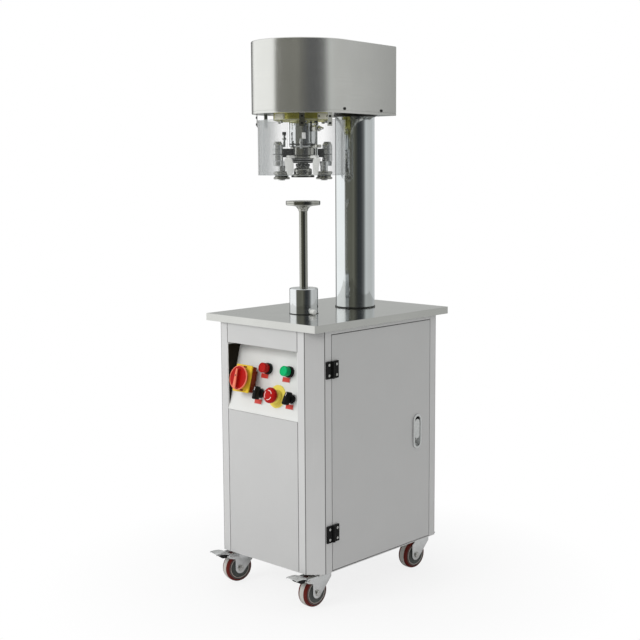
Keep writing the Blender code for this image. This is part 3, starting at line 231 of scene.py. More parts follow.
# For each look, the record's slot, and then what surface() takes: the material's name, colour,
# roughness, metal, grain, vary, cloud, bump, and where they aren't its usual ones, gloss and alpha.
LOOK_TABLE = dict(
    panel=("panel_steel", "panel_sheet", (0.60, 0.60, 0.595), 0.42, 0.35, BRUSHED_UP, 0.025, 0.02, 0.05),
    frame=("panel_steel", "frame_sheet", (0.635, 0.635, 0.63), 0.42, 0.16, BRUSHED_UP, 0.025, 0.02, 0.05),
    control=("panel_steel", "control_sheet", (0.80, 0.81, 0.79), 0.45, 0.15, (900, 40, 900), 0.02, 0.02,
             0.05),
    head=("bright_steel", "head_sheet", (0.73, 0.73, 0.705), 0.19, 0.88, (12, 12, 1300), 0.05, 0.06, 0.06),
    table=("bright_steel", "table_sheet", (0.63, 0.63, 0.61), 0.16, 1.0, (1100, 10, 1100), 0.05, 0.06, 0.05),
    column=("chrome", "column_chrome", (0.76, 0.79, 0.80), 0.1, 1.0, (500, 500, 5), 0.04, 0.04, 0.04),
    chrome=("chrome", "hard_chrome", (0.78, 0.80, 0.81), 0.1, 1.0, TURNED, 0.04, 0.04, 0.05),
    steel=("steel", "machined_steel", (0.50, 0.50, 0.465), 0.13, 1.0, TURNED, 0.14, 0.1, 0.1),
    rod=("steel", "ground_rod", (0.42, 0.42, 0.38), 0.16, 1.0, (300, 300, 8), 0.1, 0.1, 0.05),
    cast=("zinc", "cast_steel", (0.86, 0.87, 0.84), 0.4, 0.1, 90, 0.05, 0.08, 0.03),
    dark=("steel", "blackened_steel", (0.045, 0.046, 0.043), 0.35, 0.8, 500, 0.2, 0.1, 0.2),
    zinc=("zinc", "bright_zinc", (0.74, 0.75, 0.75), 0.2, 0.85, 120, 0.1, 0.12, 0.1),
    yellow_zinc=("yellow_zinc", "yellow_zinc", (0.52, 0.49, 0.13), 0.3, 0.75, (90, 90, 300), 0.15, 0.2, 0.1),
    cream=("yellow_zinc", "pale_zinc", (0.92, 0.90, 0.74), 0.4, 0.0, 120, 0.06, 0.08, 0.1),
    bolt=("steel", "bolt_steel", (0.62, 0.62, 0.60), 0.25, 1.0, 300, 0.1, 0.1, 0.1),
    black=("black_plastic", "black_plastic", (0.006, 0.006, 0.006), 0.5, 0.0, 700, 0.2, 0.1, 0.15, 0.15),
    red=("red_plastic", "red_cap", (0.43, 0.007, 0.005), 0.4, 0.0, 300, 0.06, 0.05, 0.05, 0.15),
    deep_red=("red_plastic", "deep_red", (0.24, 0.03, 0.006), 0.45, 0.0, 600, 0.1, 0.05, 0.1, 0.15),
    pale_red=("red_plastic", "pale_red", (0.86, 0.22, 0.13), 0.4, 0.0, 300, 0.05, 0.05, 0.05, 0.2),
    green=("green_plastic", "green_cap", (0.0, 0.46, 0.15), 0.4, 0.0, 300, 0.06, 0.05, 0.05, 0.15),
    yellow=("yellow_plastic", "yellow_plastic", (0.84, 0.58, 0.04), 0.45, 0.0, 500, 0.05, 0.05, 0.1, 0.2),
    label=("red_plastic", "red_label", (0.62, 0.045, 0.03), 0.4, 0.0, 200, 0.05, 0.05, 0.03),
    label_edge=("red_plastic", "pale_label_edge", (0.78, 0.70, 0.68), 0.4, 0.0, 200, 0.03, 0.03, 0.03),
    ring_yellow=("yellow_plastic", "ring_yellow", (0.88, 0.74, 0.13), 0.45, 0.0, 400, 0.05, 0.05, 0.05, 0.2),
    white=("zinc", "white_mark", (0.88, 0.89, 0.89), 0.3, 0.0, 200, 0.03, 0.04, 0.03),
    # painted shade: near-black strips that fill the panel and door seams
    seam=("black_plastic", "seam_gasket", (0.045, 0.045, 0.045), 0.7, 0.0, 300, 0.1, 0.1, 0.1, 0.1),
    pale=("red_plastic", "pale_mark", (0.82, 0.66, 0.62), 0.4, 0.0, 300, 0.04, 0.04, 0.03),
    clear=("clear_sheet", "clear_sheet", (0.42, 0.44, 0.44), 0.12, 0.0, (12, 12, 3), 0.03, 0.03, 0.02, 0.5,
           0.13),
    edge=("clear_sheet", "clear_sheet_edge", (0.50, 0.54, 0.54), 0.2, 0.0, 60, 0.04, 0.04, 0.03, 0.5, 0.55),
    tread=("wheel_rubber", "pale_tread", (0.58, 0.57, 0.53), 0.5, 0.0, 350, 0.06, 0.08, 0.2),
    core=("wheel_rubber", "red_core", (0.13, 0.012, 0.007), 0.45, 0.0, 300, 0.1, 0.15, 0.1, 0.2),
    hub=("wheel_rubber", "grey_hub", (0.075, 0.082, 0.076), 0.4, 0.3, 300, 0.1, 0.1, 0.1),
    rubber=("belt_rubber", "black_rubber", (0.015, 0.015, 0.015), 0.6, 0.0, 500, 0.2, 0.1, 0.2, 0.2),
    motor=("motor_paint", "motor_enamel", (0.06, 0.085, 0.11), 0.4, 0.0, 250, 0.05, 0.06, 0.06),
    # painted shadow: near-black liner for the control panel's recess cheeks
    shadow=("black_plastic", "dark_gap", (0.016, 0.012, 0.006), 0.6, 0.0, 300, 0.1, 0.1, 0.1, 0.1),
)
LOOKS = {look: surface(*values) for look, (_, *values) in LOOK_TABLE.items()}
# painted shade down the corner posts' folds
paint_fold_shade(LOOKS["frame"])
# painted shade towards the head's back
paint_back_shade(LOOKS["head"])
thicken_rim(LOOKS["clear"])


# Shapes. Each returns a bmesh in millimetres.

def rounded(points, radius, steps=3):
    """A closed outline with its corners rounded. A point at 0 across is on a lathe's axis and stays."""
    result = []
    for index, point in enumerate(points):
        here = Vector(point)
        if abs(here.x) < 1e-6:
            result.append(tuple(here))
            continue
        before = Vector(points[index - 1]) - here
        after = Vector(points[(index + 1) % len(points)]) - here
        reach = min(radius, 0.45 * before.length, 0.45 * after.length)
        first = here + before.normalized() * reach
        last = here + after.normalized() * reach
        for step in range(steps + 1):
            t = step / steps
            result.append(tuple(first * (1 - t) ** 2 + here * 2 * t * (1 - t) + last * t * t))
    return result


def box_outline(half_x, half_y):
    return [(-half_x, -half_y), (half_x, -half_y), (half_x, half_y), (-half_x, half_y)]


# What turns a shape's own Z to each axis.
TURNS = {
    "Z": Matrix.Identity(4),
    "X": Matrix(((0, 0, 1, 0), (1, 0, 0, 0), (0, 1, 0, 0), (0, 0, 0, 1))),
}


def face_out(shape):
    bmesh.ops.recalc_face_normals(shape, faces=shape.faces)
    return shape


def lathe(profile, at=(0, 0, 0), axis="Z", soft=0.6, facets=64):
    """A solid of revolution from a closed loop of (radius, height) points."""
    shape = bmesh.new()
    rings = []
    for radius, height in rounded(profile, soft):
        count = facets if radius > 1e-6 else 1
        rings.append([shape.verts.new((radius * math.cos(k * math.tau / facets),
                                       radius * math.sin(k * math.tau / facets), height))
                      for k in range(count)])
    for first, second in zip(rings, rings[1:] + rings[:1]):
        if len(first) == 1 and len(second) == 1:
            continue
        for k in range(facets):
            after = (k + 1) % facets
            corners = [first[k % len(first)], first[after % len(first)],
                       second[after % len(second)], second[k % len(second)]]
            shape.faces.new(list(dict.fromkeys(corners)))
    shape.transform(Matrix.Translation(at) @ TURNS[axis])
    return face_out(shape)


def rod(radius, low, high, at=(0, 0, 0), axis="Z", soft=0.6, facets=32):
    return lathe([(0, low), (radius, low), (radius, high), (0, high)], at, axis, soft, facets)


def ring(outer, inner, low, high, at=(0, 0, 0), axis="Z", soft=0.6, facets=64):
    return lathe([(inner, low), (outer, low), (outer, high), (inner, high)], at, axis, soft, facets)


def soften(shape, width, angle=30):
    """Bevels the edges that are sharper than an angle."""
    edges = [edge for edge in shape.edges
             if len(edge.link_faces) == 2 and edge.calc_face_angle() > math.radians(angle)]
    if edges:
        bmesh.ops.bevel(shape, geom=edges, offset=width, segments=2, affect="EDGES",
                        profile=0.5, clamp_overlap=True)
    return face_out(shape)


def block(low, high, soft=0.8):
    shape = bmesh.new()
    centre = (Vector(low) + Vector(high)) / 2
    size = Vector(high) - Vector(low)
    bmesh.ops.create_cube(shape, size=1, matrix=Matrix.Translation(centre) @ Matrix.Diagonal((*size, 1)))
    return soften(shape, soft)


def loft(loops):
    """Closed loops of points with equal counts, joined one to the next, with flat ends."""
    shape = bmesh.new()
    rows = [[shape.verts.new(point) for point in loop] for loop in loops]
    for first, second in zip(rows, rows[1:]):
        for k in range(len(first)):
            after = (k + 1) % len(first)
            shape.faces.new((first[k], first[after], second[after], second[k]))
    shape.faces.new(rows[0])
    shape.faces.new(rows[-1])
    return face_out(shape)


def swept(profile, start, end, steps, centre_y=0):
    """A closed loop of (radius, height) points swept part of the way round, between two directions."""
    loops = []
    for k in range(steps + 1):
        angle = math.radians(start + (end - start) * k / steps)
        loops.append([(r * math.cos(angle), centre_y + r * math.sin(angle), z) for r, z in profile])
    return loft(loops)


def prism(outline, low, high, at=(0, 0, 0), axis="Z", soft=0.6):
    """An outline pushed from low to high along an axis."""
    shape = loft([[(a, b, height) for a, b in outline] for height in (low, high)])
    soften(shape, soft)
    shape.transform(Matrix.Translation(at) @ TURNS[axis])
    return face_out(shape)


def arc(centre, radius, start, end, steps):
    return [(centre[0] + radius * math.cos(math.radians(start + (end - start) * k / steps)),
             centre[1] + radius * math.sin(math.radians(start + (end - start) * k / steps)))
            for k in range(steps + 1)]


def hexagon(across, centre=(0, 0)):
    return arc(centre, across / math.sqrt(3), 0, 300, 5)


def polar(distance, degrees):
    """A place in plan, by its distance and direction from the spindle."""
    angle = math.radians(degrees)
    return distance * math.cos(angle), SPINDLE_Y + distance * math.sin(angle)


def joined(*shapes):
    """Several shapes in one bmesh."""
    result = bmesh.new()
    for shape in shapes:
        mesh = bpy.data.meshes.new("shape")
        shape.to_mesh(mesh)
        shape.free()
        result.from_mesh(mesh)
        bpy.data.meshes.remove(mesh)
    return result


def aimed(shape, at, degrees):
    """Turns a shape whose outward side is +X to face a direction in plan, then moves it there."""
    shape.transform(Matrix.Translation(at) @ Matrix.Rotation(math.radians(degrees), 4, "Z"))
    return shape


def cap_screw(radius, tall, at, degrees):
    """A socket-head screw that stands out of a wall, towards a direction in plan."""
    socket = radius * 0.5
    body = lathe([(0, 0), (radius, 0), (radius, tall), (socket, tall), (socket, tall * 0.4),
                  (0, tall * 0.4)], axis="X", soft=0.4, facets=24)
    return aimed(body, at, degrees)


def hex_bolt(across, tall, at):
    """A bolt head on its washer. A negative height makes it hang."""
    head = prism(hexagon(across), 0, tall, soft=0.5)
    washer = rod(across * 0.62, -1, 0.2, soft=0.2)
    shape = joined(head, washer)
    shape.transform(Matrix.Translation(at))
    return shape


def placed(name, data):
    """A new object in the scene."""
    item = bpy.data.objects.new(name, data)
    bpy.context.scene.collection.objects.link(item)
    return item


def piece(name, shape, look, body, replaces=(), place=None, sharp=38):
    """Puts a finished piece, of one shape or a list of them, in the scene and hangs it on a body."""
    if isinstance(shape, list):
        shape = joined(*shape)
    if place is not None:
        shape.transform(place)
    shape.transform(TO_WORLD)
    face_out(shape)
    mesh = bpy.data.meshes.new(name)
    shape.to_mesh(mesh)
    shape.free()
    mesh.shade_smooth()
    mesh.set_sharp_from_angle(angle=math.radians(sharp))
    mesh.materials.append(LOOKS[look])
    item = placed(name, mesh)
    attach(item, body)
    if replaces:
        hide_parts(*replaces)


def refinish(names, look, bevel):
    """Gives CAD nodes a better material and softened edges."""
    for name in names:
        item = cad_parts[name]
        for index in range(len(item.data.materials)):
            item.data.materials[index] = LOOKS[look]
        modifier = item.modifiers.new("edges", "BEVEL")
        modifier.width = bevel * MM
        modifier.segments = 2
        modifier.limit_method = "ANGLE"
        modifier.angle_limit = math.radians(40)
        modifier.harden_normals = True


# Cabinet.

def build_recess_cheeks():
    """The open sides of the sloped control panel, lined with near-black sheets as painted shadow."""
    top = heights("control_panel")[1] - 4
    outline = [(FRONT + 2.79, RECESS_LOW + 14), (FRONT + 44.5, top), (FRONT + 1.2, top)]
    for side, name in ((-1, "left"), (1, "right")):
        wall = side * CHEEK_X
        low, high = sorted((wall, wall - side * 0.7))
        piece(f"recess_{name}_cheek", prism(outline, low, high, axis="X", soft=0.1), "shadow", "base")


def build_seams():
    """Dark strips set back in the seams round the front panels and the door, as painted shade inside the
    gaps.
    """
    strips = []
    for low, high in ((99, 487.5), (669.5, 724.8)):
        for side in (-1, 1):
            inner, outer = sorted((side * 128.3, side * 129.7))
            strips.append(block((inner, FRONT + 1.2, low), (outer, FRONT + 8, high), 0.1))
    door_low, door_high = (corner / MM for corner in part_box("door_panel"))
    left, right = door_low.y - SHIFT_Y / MM, door_high.y - SHIFT_Y / MM
    low, high = door_low.z, door_high.z
    back, face = HALF_WIDE - 11, HALF_WIDE - 1.4
    strips.append(block((back, left + 1, high + 0.5), (face, right - 1, high + 1.6), 0.1))
    strips.append(block((back, left + 1, low - 1.6), (face, right - 1, low - 0.5), 0.1))
    strips.append(block((back, right + 0.7, low), (face, right + 1.7, high), 0.1))
    piece("seam_strips", strips, "seam", "base")
    edge_strip = block((back, left - 1.6, low + 1), (face, left - 0.2, high - 1), 0.1)
    piece("door_edge_strip", edge_strip, "seam", "door")


def build_cabinet():
    build_recess_cheeks()
    build_seams()
    refinish(["cabinet_frame"], "frame", 0.5)
    sheets = ["left_panel", "back_panel", "front_upper_panel", "front_lower_panel", "door_panel"]
    refinish(sheets, "panel", 0.7)
    refinish(["control_panel"], "control", 0.5)
    refinish(["tabletop"], "table", 0.9)
    refinish(["latch_case", "latch_handle"], "zinc", 0.6)
    refinish(["upper_frame_hinge", "lower_frame_hinge", "upper_door_hinge", "lower_door_hinge"], "black", 0.6)
    refinish(["cable_gland"], "black", 0.5)
    refinish(["motor", "lift_actuator"], "motor", 0.8)
    hinge_line = -196.5
    for level in ("upper", "lower"):
        low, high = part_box(f"{level}_frame_hinge")
        middle = (low.z + high.z) / 2 / MM
        leaf_face = (low.x + 0.004) / MM
        for side, body in ((-1, "base"), (1, "door")):
            screws = [cap_screw(3.4, 1.6, (leaf_face, hinge_line + side * 14, middle + z), 0)
                      for z in (-13.5, 13.5)]
            piece(f"{level}_hinge_screws_{body}", screws, "bolt", body)
    screws = [cap_screw(4, 2, (x, CABINET_Y + HALF_DEEP, z), 90) for x in (-112, 112) for z in SCREW_LEVELS]
    piece("back_panel_screws", screws, "bolt", "base")
    screws = [cap_screw(4, 2, (-HALF_WIDE, y, z), 180) for y in (-180, 185) for z in SCREW_LEVELS]
    piece("left_panel_screws", screws, "bolt", "base")


# Controls, in the control panel's frame: +Z stands out of it and +Y runs up its slope.

def on_face(x, y, turn=0):
    return FACE @ Matrix.Translation((x, y, 0)) @ Matrix.Rotation(math.radians(turn), 4, "Z")


def build_push_button(name, x, y, look):
    place = on_face(x, y)
    cap = lathe([(0, 6), (12, 6), (12, 17), (13.2, 18.5), (13.2, 25.5), (12.4, 27), (10.2, 27),
                 (9.6, 25.6), (0, 26)], soft=0.8)
    rim = ring(12.4, 11.2, 11.5, 12.6, soft=0.3)
    piece(f"{name}_cap", [cap, rim], look, name, (f"{name}_button",), place)
    bezel = lathe([(12.5, 0.2), (14.6, 0.2), (14.6, 8), (13.8, 10.6), (12.5, 10.6)], soft=0.5)
    piece(f"{name}_bezel", bezel, "black", "base", (), place)


def build_label(name, x, y):
    """A bare label plate on a paler edge."""
    place = on_face(x, y)
    edge = block((-14, -7, 0.2), (14, 7, 1.6), 0.4)
    piece(f"{name}_label_edge", edge, "label_edge", "base", (), place)
    plate = block((-13, -6, 1.4), (13, 6, 2), 0.25)
    piece(f"{name}_label", plate, "label", "base", (), place)


def build_selector(name, x, y, turn):
    turned = on_face(x, y, turn)
    body = lathe([(0, 3.5), (11, 3.5), (11.4, 5), (10.6, 13.5), (0, 13.5)])
    outline = rounded([(-5, -17), (5, -17), (6.2, 0), (4.2, 17), (-4.2, 17), (-6.2, 0)], 3.5, 4)
    lever = prism(outline, 12.5, 31, soft=1.6)
    piece(f"{name}_knob", [body, lever], "black", name, (name,), turned)
    piece(f"{name}_ring", ring(14, 11.7, 0.2, 4.5, soft=1), "zinc", "base", (), on_face(x, y))
    mark = block((-0.7, 6, 30.8), (0.7, 15, 31.4), 0.2)
    piece(f"{name}_mark", mark, "label_edge", name, (), turned)


def build_estop(x, y):
    place = on_face(x, y)
    plate = lathe([(12.2, 0.3), (30, 0.3), (30, 1.4), (28.6, 2.3), (13.4, 2.3), (12.2, 2.3)], soft=0.4,
                  facets=96)
    piece("estop_plate", plate, "ring_yellow", "base", ("estop_ring",), place)
    collar = lathe([(12, 2.4), (17.5, 2.4), (16.6, 13), (15.6, 14), (12, 14)], facets=80)
    piece("estop_collar", collar, "ring_yellow", "base", (), place)
    head = lathe([(0, 6.2), (10.6, 6.2), (10.6, 20), (18.6, 21.5), (20.4, 23.5), (20.4, 30), (17, 34),
                  (9, 35.7), (0, 35.9)], soft=1.4, facets=96)
    piece("estop_mushroom", head, "red", "estop", ("estop_button",), place)
    profile = ((11.2, 34.4), (13, 34), (13, 35.5), (11.2, 35.8))
    marks = [swept(profile, start, start + 80, 12) for start in (20, 140, 260)]
    piece("estop_arrows", marks, "pale", "estop", (), place)


def build_main_switch(x, y):
    place = on_face(x, y)
    plate = prism(rounded(box_outline(29, 36), 3), 26.5, 31.5, soft=1)
    piece("switch_plate", plate, "yellow", "base", ("switch_base",), place)
    body = prism(rounded(box_outline(27.5, 34), 3), 12, 26.8, soft=0.8)
    neck = prism(rounded(box_outline(21, 24), 3), 0.3, 12.2)
    ribs = [block((side * 27.5 - 1, at - 4, 14), (side * 27.5 + 1, at + 4, 25), 0.5)
            for side in (-1, 1) for at in (-19, 0, 19)]
    piece("switch_back", [body, neck] + ribs, "deep_red", "base", (), place)
    slots = [block((-2, at - 2.2, 31.2), (10, at + 2.2, 31.9), 0.3) for at in (-30.5, 30.5)]
    piece("switch_slots", slots, "deep_red", "base", (), place)
    disc = lathe([(0, 32.2), (21, 32.2), (22, 42), (30.2, 43.3), (30.2, 45.8), (29, 46.8), (0, 46.8)],
                 facets=96)
    bar_foot = prism(rounded([(-7.5, -27), (7.5, -27), (5, 24), (-5, 24)], 4, 4), 46.4, 48.6, soft=0.5)
    ridge = prism(rounded([(-4.2, -26), (4.2, -26), (2.6, 22), (-2.6, 22)], 2, 4), 48.2, 55, soft=0.8)
    piece("switch_disc", [disc, bar_foot, ridge], "red", "main_switch", ("switch_handle",), place)
    rim = lathe([(29.4, 43.4), (31.4, 43.4), (32.4, 45.6), (31.6, 47.4), (29.4, 47.4)], soft=0.5, facets=96)
    piece("switch_rim", rim, "pale_red", "main_switch", (), place)
    bar = prism(rounded([(-5.4, -28), (5.4, -28), (2.6, 23), (-2.6, 23)], 2.4, 4), 54.4, 57.6, soft=1)
    piece("switch_bar", bar, "pale_red", "main_switch", (), place)
    screw = rod(2, 57.3, 57.9, soft=0.2)
    piece("switch_screw", screw, "dark", "main_switch", (), on_face(x, y + 5))


def build_controls():
    build_push_button("stop", -5, 122, "red")
    build_push_button("start", 73, 122, "green")
    build_label("stop", -14, 102)
    build_label("start", 65, 101)
    build_label("left_selector", -21.5, 33.6)
    build_label("right_selector", 93, 34.6)
    build_selector("left_selector", -13, 55, 0)
    build_selector("right_selector", 99, 55, -14)
    build_estop(43, 55)
    build_main_switch(-64.5, 86)


# Column and head.

def build_column():
    low, top = heights("column")
    at = (0, COLUMN_Y, 0)
    shaft = ring(COLUMN_R, COLUMN_R - 9, low, top, at, soft=0.5, facets=128)
    plate = prism(box_outline(85, 85), low, low + 9.8, at, soft=0.8)
    piece("column_tube", [shaft, plate], "column", "base", ("column",))
    inner = COLUMN_R + 0.1
    foot = ring(COLUMN_R + 1.8, inner, TABLE_TOP + 0.2, TABLE_TOP + 3.2, at, facets=96)
    piece("column_foot_ring", foot, "dark", "base")
    collar = ring(COLUMN_R + 3, inner, HEAD_LOW - 2, HEAD_LOW + 4.6, at, soft=0.5, facets=96)
    piece("column_top_ring", collar, "dark", "base")


def side_lean(inset=0):
    """The direction in plan in which the head's flat right side faces."""
    run = HEAD_BACK_Y - inset - SPINDLE_Y
    half = HEAD_BACK_HALF - inset
    return math.degrees(math.atan2(run, half) - math.acos((HEAD_R - inset) / math.hypot(half, run)))


def head_outline(inset):
    """The head from above: a round front, and two flat sides that close towards its back."""
    lean = side_lean(inset)
    half, back_y = HEAD_BACK_HALF - inset, HEAD_BACK_Y - inset
    front = arc((0, SPINDLE_Y), HEAD_R - inset, lean, -180 - lean, 96)
    return [(half, back_y)] + front + [(-half, back_y)]


def build_head():
    # Each level's height, and how far it is set in: the inner top, the folded lower edge with the
    # groove above it, and the rounded top edge.
    levels = [(HEAD_HIGH - 2, 2), (HEAD_LOW + 0.4, 2), (HEAD_LOW, 1.6), (HEAD_LOW, 0.5), (HEAD_LOW + 0.6, 0),
              (HEAD_LOW + 6, 0), (HEAD_LOW + 6.4, 0.5), (HEAD_LOW + 6.9, 0.5), (HEAD_LOW + 7.3, 0)]
    edge = 2.2
    for k in range(5):
        angle = math.pi / 2 * k / 4
        levels.append((HEAD_HIGH - edge + edge * math.sin(angle), edge * (1 - math.cos(angle))))
    loops = [[(x, y, z) for x, y in head_outline(inset)] for z, inset in levels]
    piece("head_shell", loft(loops), "head", "base", ("head_cover",), sharp=50)
    refinish(["head_base"], "steel", 0.5)
    screw_z = HEAD_LOW + 11
    screws = []
    for side in (-1, 1):
        face = side_lean() if side > 0 else 180 - side_lean()
        start = Vector(polar(HEAD_R, face))
        end = Vector((side * HEAD_BACK_HALF, HEAD_BACK_Y))
        for share in (0.01, 0.70):
            screws.append(cap_screw(3.6, 2.6, (*start.lerp(end, share), screw_z), face))
    screws += [cap_screw(3.6, 2.6, (x, HEAD_BACK_Y, screw_z), 90) for x in (-60, 60)]
    piece("head_screws", screws, "dark", "base")
    screws = [cap_screw(3, 2.2, (*polar(119.3, angle), z), angle)
              for angle in (-170, -133.5, -46.5, -10) for z in (1236.5, 1254)]
    piece("tab_screws", screws, "dark", "base")


def build_guard():
    low, high = 1105.5, 1246.5
    start, end, steps = -205, 25, 90
    sheet = ((114.2, low), (116.9, low), (116.9, high), (114.2, high))
    piece("guard_sheet", swept(sheet, start, end, steps, SPINDLE_Y), "clear", "base", ("guard",))
    for name, z in (("lower", low), ("upper", high - 0.8)):
        rim = ((113.9, z), (117.1, z), (117.1, z + 0.8), (113.9, z + 0.8))
        piece(f"guard_{name}_edge", swept(rim, start, end, steps, SPINDLE_Y), "edge", "base")


# Seaming gear, centred on the spindle.

HOUSING_R = 35
CHUCK_LOW = 1099.5
CHUCK_TOP = CHUCK_LOW + 31
CARRIER_LOW, CARRIER_HIGH = 1148.5, 1178.2
POST = (68, 63)        # distance and direction of the right arm's post and of its roller's axle
AXLE = (56, 37)
ROLLER_LOW = 1094.5


def build_flange():
    low = 1245.5
    high = heights("bearing_flange")[1]
    flange = lathe([(14.6, low), (60, low), (60, low - 1.5), (66, low - 1.5), (76, low + 1), (76, high),
                    (14.6, high)], SPINDLE, soft=0.8, facets=96)
    piece("flange_plate", flange, "yellow_zinc", "base", ("bearing_flange",))
    bosses = [aimed(block((-3, -half, -9), (4.5, half, 6.5), 1.2), (*polar(75, angle), 1256.5), angle)
              for angle, half in ((-96, 17), (-4, 15), (150, 15))]
    piece("flange_bosses", bosses, "cream", "base")
    bolts = [hex_bolt(8, -5, (*polar(67, angle), low - 1.2)) for angle in range(20, 380, 60)]
    piece("flange_bolts", bolts, "bolt", "base")
    screws = [cap_screw(2.6, 2, (*polar(79.4, angle), 1255), angle) for angle in (-14, 6)]
    piece("boss_screws", screws, "dark", "base")


def build_housing():
    housing = lathe([(14.6, 1178.5), (33.6, 1178.5), (HOUSING_R, 1180), (HOUSING_R, 1183.5), (34, 1184.2),
                     (34, 1186), (HOUSING_R, 1186.8), (HOUSING_R, 1245.2), (14.6, 1245.2)], SPINDLE,
                    soft=0.5, facets=96)
    piece("housing_tube", housing, "chrome", "base", ("spindle_housing",))
    foot = ring(35.6, 33.9, 1184, 1186.2, SPINDLE, soft=0.3, facets=96)
    piece("housing_foot_ring", foot, "dark", "base")
    skin = HOUSING_R - 0.2
    piece("housing_screw", cap_screw(3, 1.4, (*polar(skin, -43), 1237), -43), "dark", "base")
    window = aimed(block((-1, -5, -8), (1.1, 5, 8), 0.6), (*polar(skin, -41), 1207), -41)
    piece("housing_window", window, "white", "base")
    seams = [aimed(block((-1.5, -0.7, 1190), (0.3, 0.7, 1236), 0.2), (*polar(HOUSING_R, angle), 0), angle)
             for angle in (-22, -12)]
    piece("housing_seams", seams, "dark", "base")


def build_clamp_rods():
    """Fixed rods, clamps and nuts round the housing."""
    clamp_turn = 4
    right_rod, left_rod, front_rod = polar(46, clamp_turn), polar(50.5, 243), polar(40, -52)
    rods = [rod(3.6, 1152, 1245, (*right_rod, 0)),
            rod(3.2, 1178, 1215, (*left_rod, 0)),
            rod(3.4, 1174, 1200, (*front_rod, 0))]
    piece("clamp_rods", rods, "chrome", "base")
    clamps = [aimed(block((28, -8, 1218), (54, 8, 1233), 1.6), SPINDLE, clamp_turn),
              aimed(block((30, -7, 1176), (58, 7, 1184), 1.2), SPINDLE, clamp_turn)]
    piece("rod_clamps", clamps, "steel", "base")
    stub_at = (0, SPINDLE_Y, 1225.5)
    nuts = [prism(hexagon(across, at), z, z + 6)
            for across, at, z in ((10, left_rod, 1196), (8, left_rod, 1206), (11, right_rod, 1234),
                                  (9, front_rod, 1186))]
    nuts.append(aimed(prism(hexagon(10), 54, 61, axis="X"), stub_at, clamp_turn))
    nuts.append(aimed(rod(3.2, 60, 69, axis="X"), stub_at, clamp_turn))
    piece("rod_nuts", nuts, "bolt", "base")
    caps = [rod(5.2, 1209, 1217, (*left_rod, 0), soft=1.4),
            rod(5, 1240, 1245, (*right_rod, 0), soft=1)]
    piece("rod_caps", caps, "dark", "base")


def build_spindle():
    low, top = CHUCK_LOW, CHUCK_TOP
    shaft_top = heights("spindle")[1]
    shaft = lathe([(0, top - 25), (9.8, top - 25), (9.8, top + 0.4), (14, top + 0.4), (14, shaft_top),
                   (0, shaft_top)], SPINDLE)
    piece("spindle_shaft", shaft, "rod", "spindle", ("spindle",))
    chuck = lathe([(0, low + 1.5), (22, low + 1.5), (24, low), (29.4, low), (30.2, low + 1.4),
                   (30.2, low + 5.2), (29, low + 6.4), (24.6, low + 8.4), (24, low + 9), (24, low + 20),
                   (23, low + 22.4), (18.5, low + 24.6), (17, low + 26), (17, top), (10.3, top),
                   (10.3, top - 25.5), (0, top - 25.5)], SPINDLE, soft=0.5, facets=96)
    piece("chuck", chuck, "steel", "spindle", ("seaming_chuck",))
    pins = [aimed(rod(1.3, 17.4, 19, axis="X", soft=0.3, facets=16), (0, SPINDLE_Y, top + 0.7), k * 30)
            for k in range(12)]
    piece("chuck_pins", pins, "zinc", "spindle")
    collar = lathe([(16.8, top - 3), (17.8, top - 3), (18.6, top - 2), (18.6, top + 3.4), (17.4, top + 4.6),
                    (14.2, top + 4.6), (14.2, top + 0.8), (16.8, top + 0.2)], SPINDLE, soft=0.4, facets=80)
    piece("chuck_collar", collar, "dark", "spindle")
    bands = [ring(24.5, 23.8, low + 13.4, low + 14.6, SPINDLE, soft=0.2, facets=96),
             ring(30.35, 29.2, low + 0.8, low + 3, SPINDLE, soft=0.2, facets=96)]
    piece("chuck_bands", bands, "dark", "spindle")


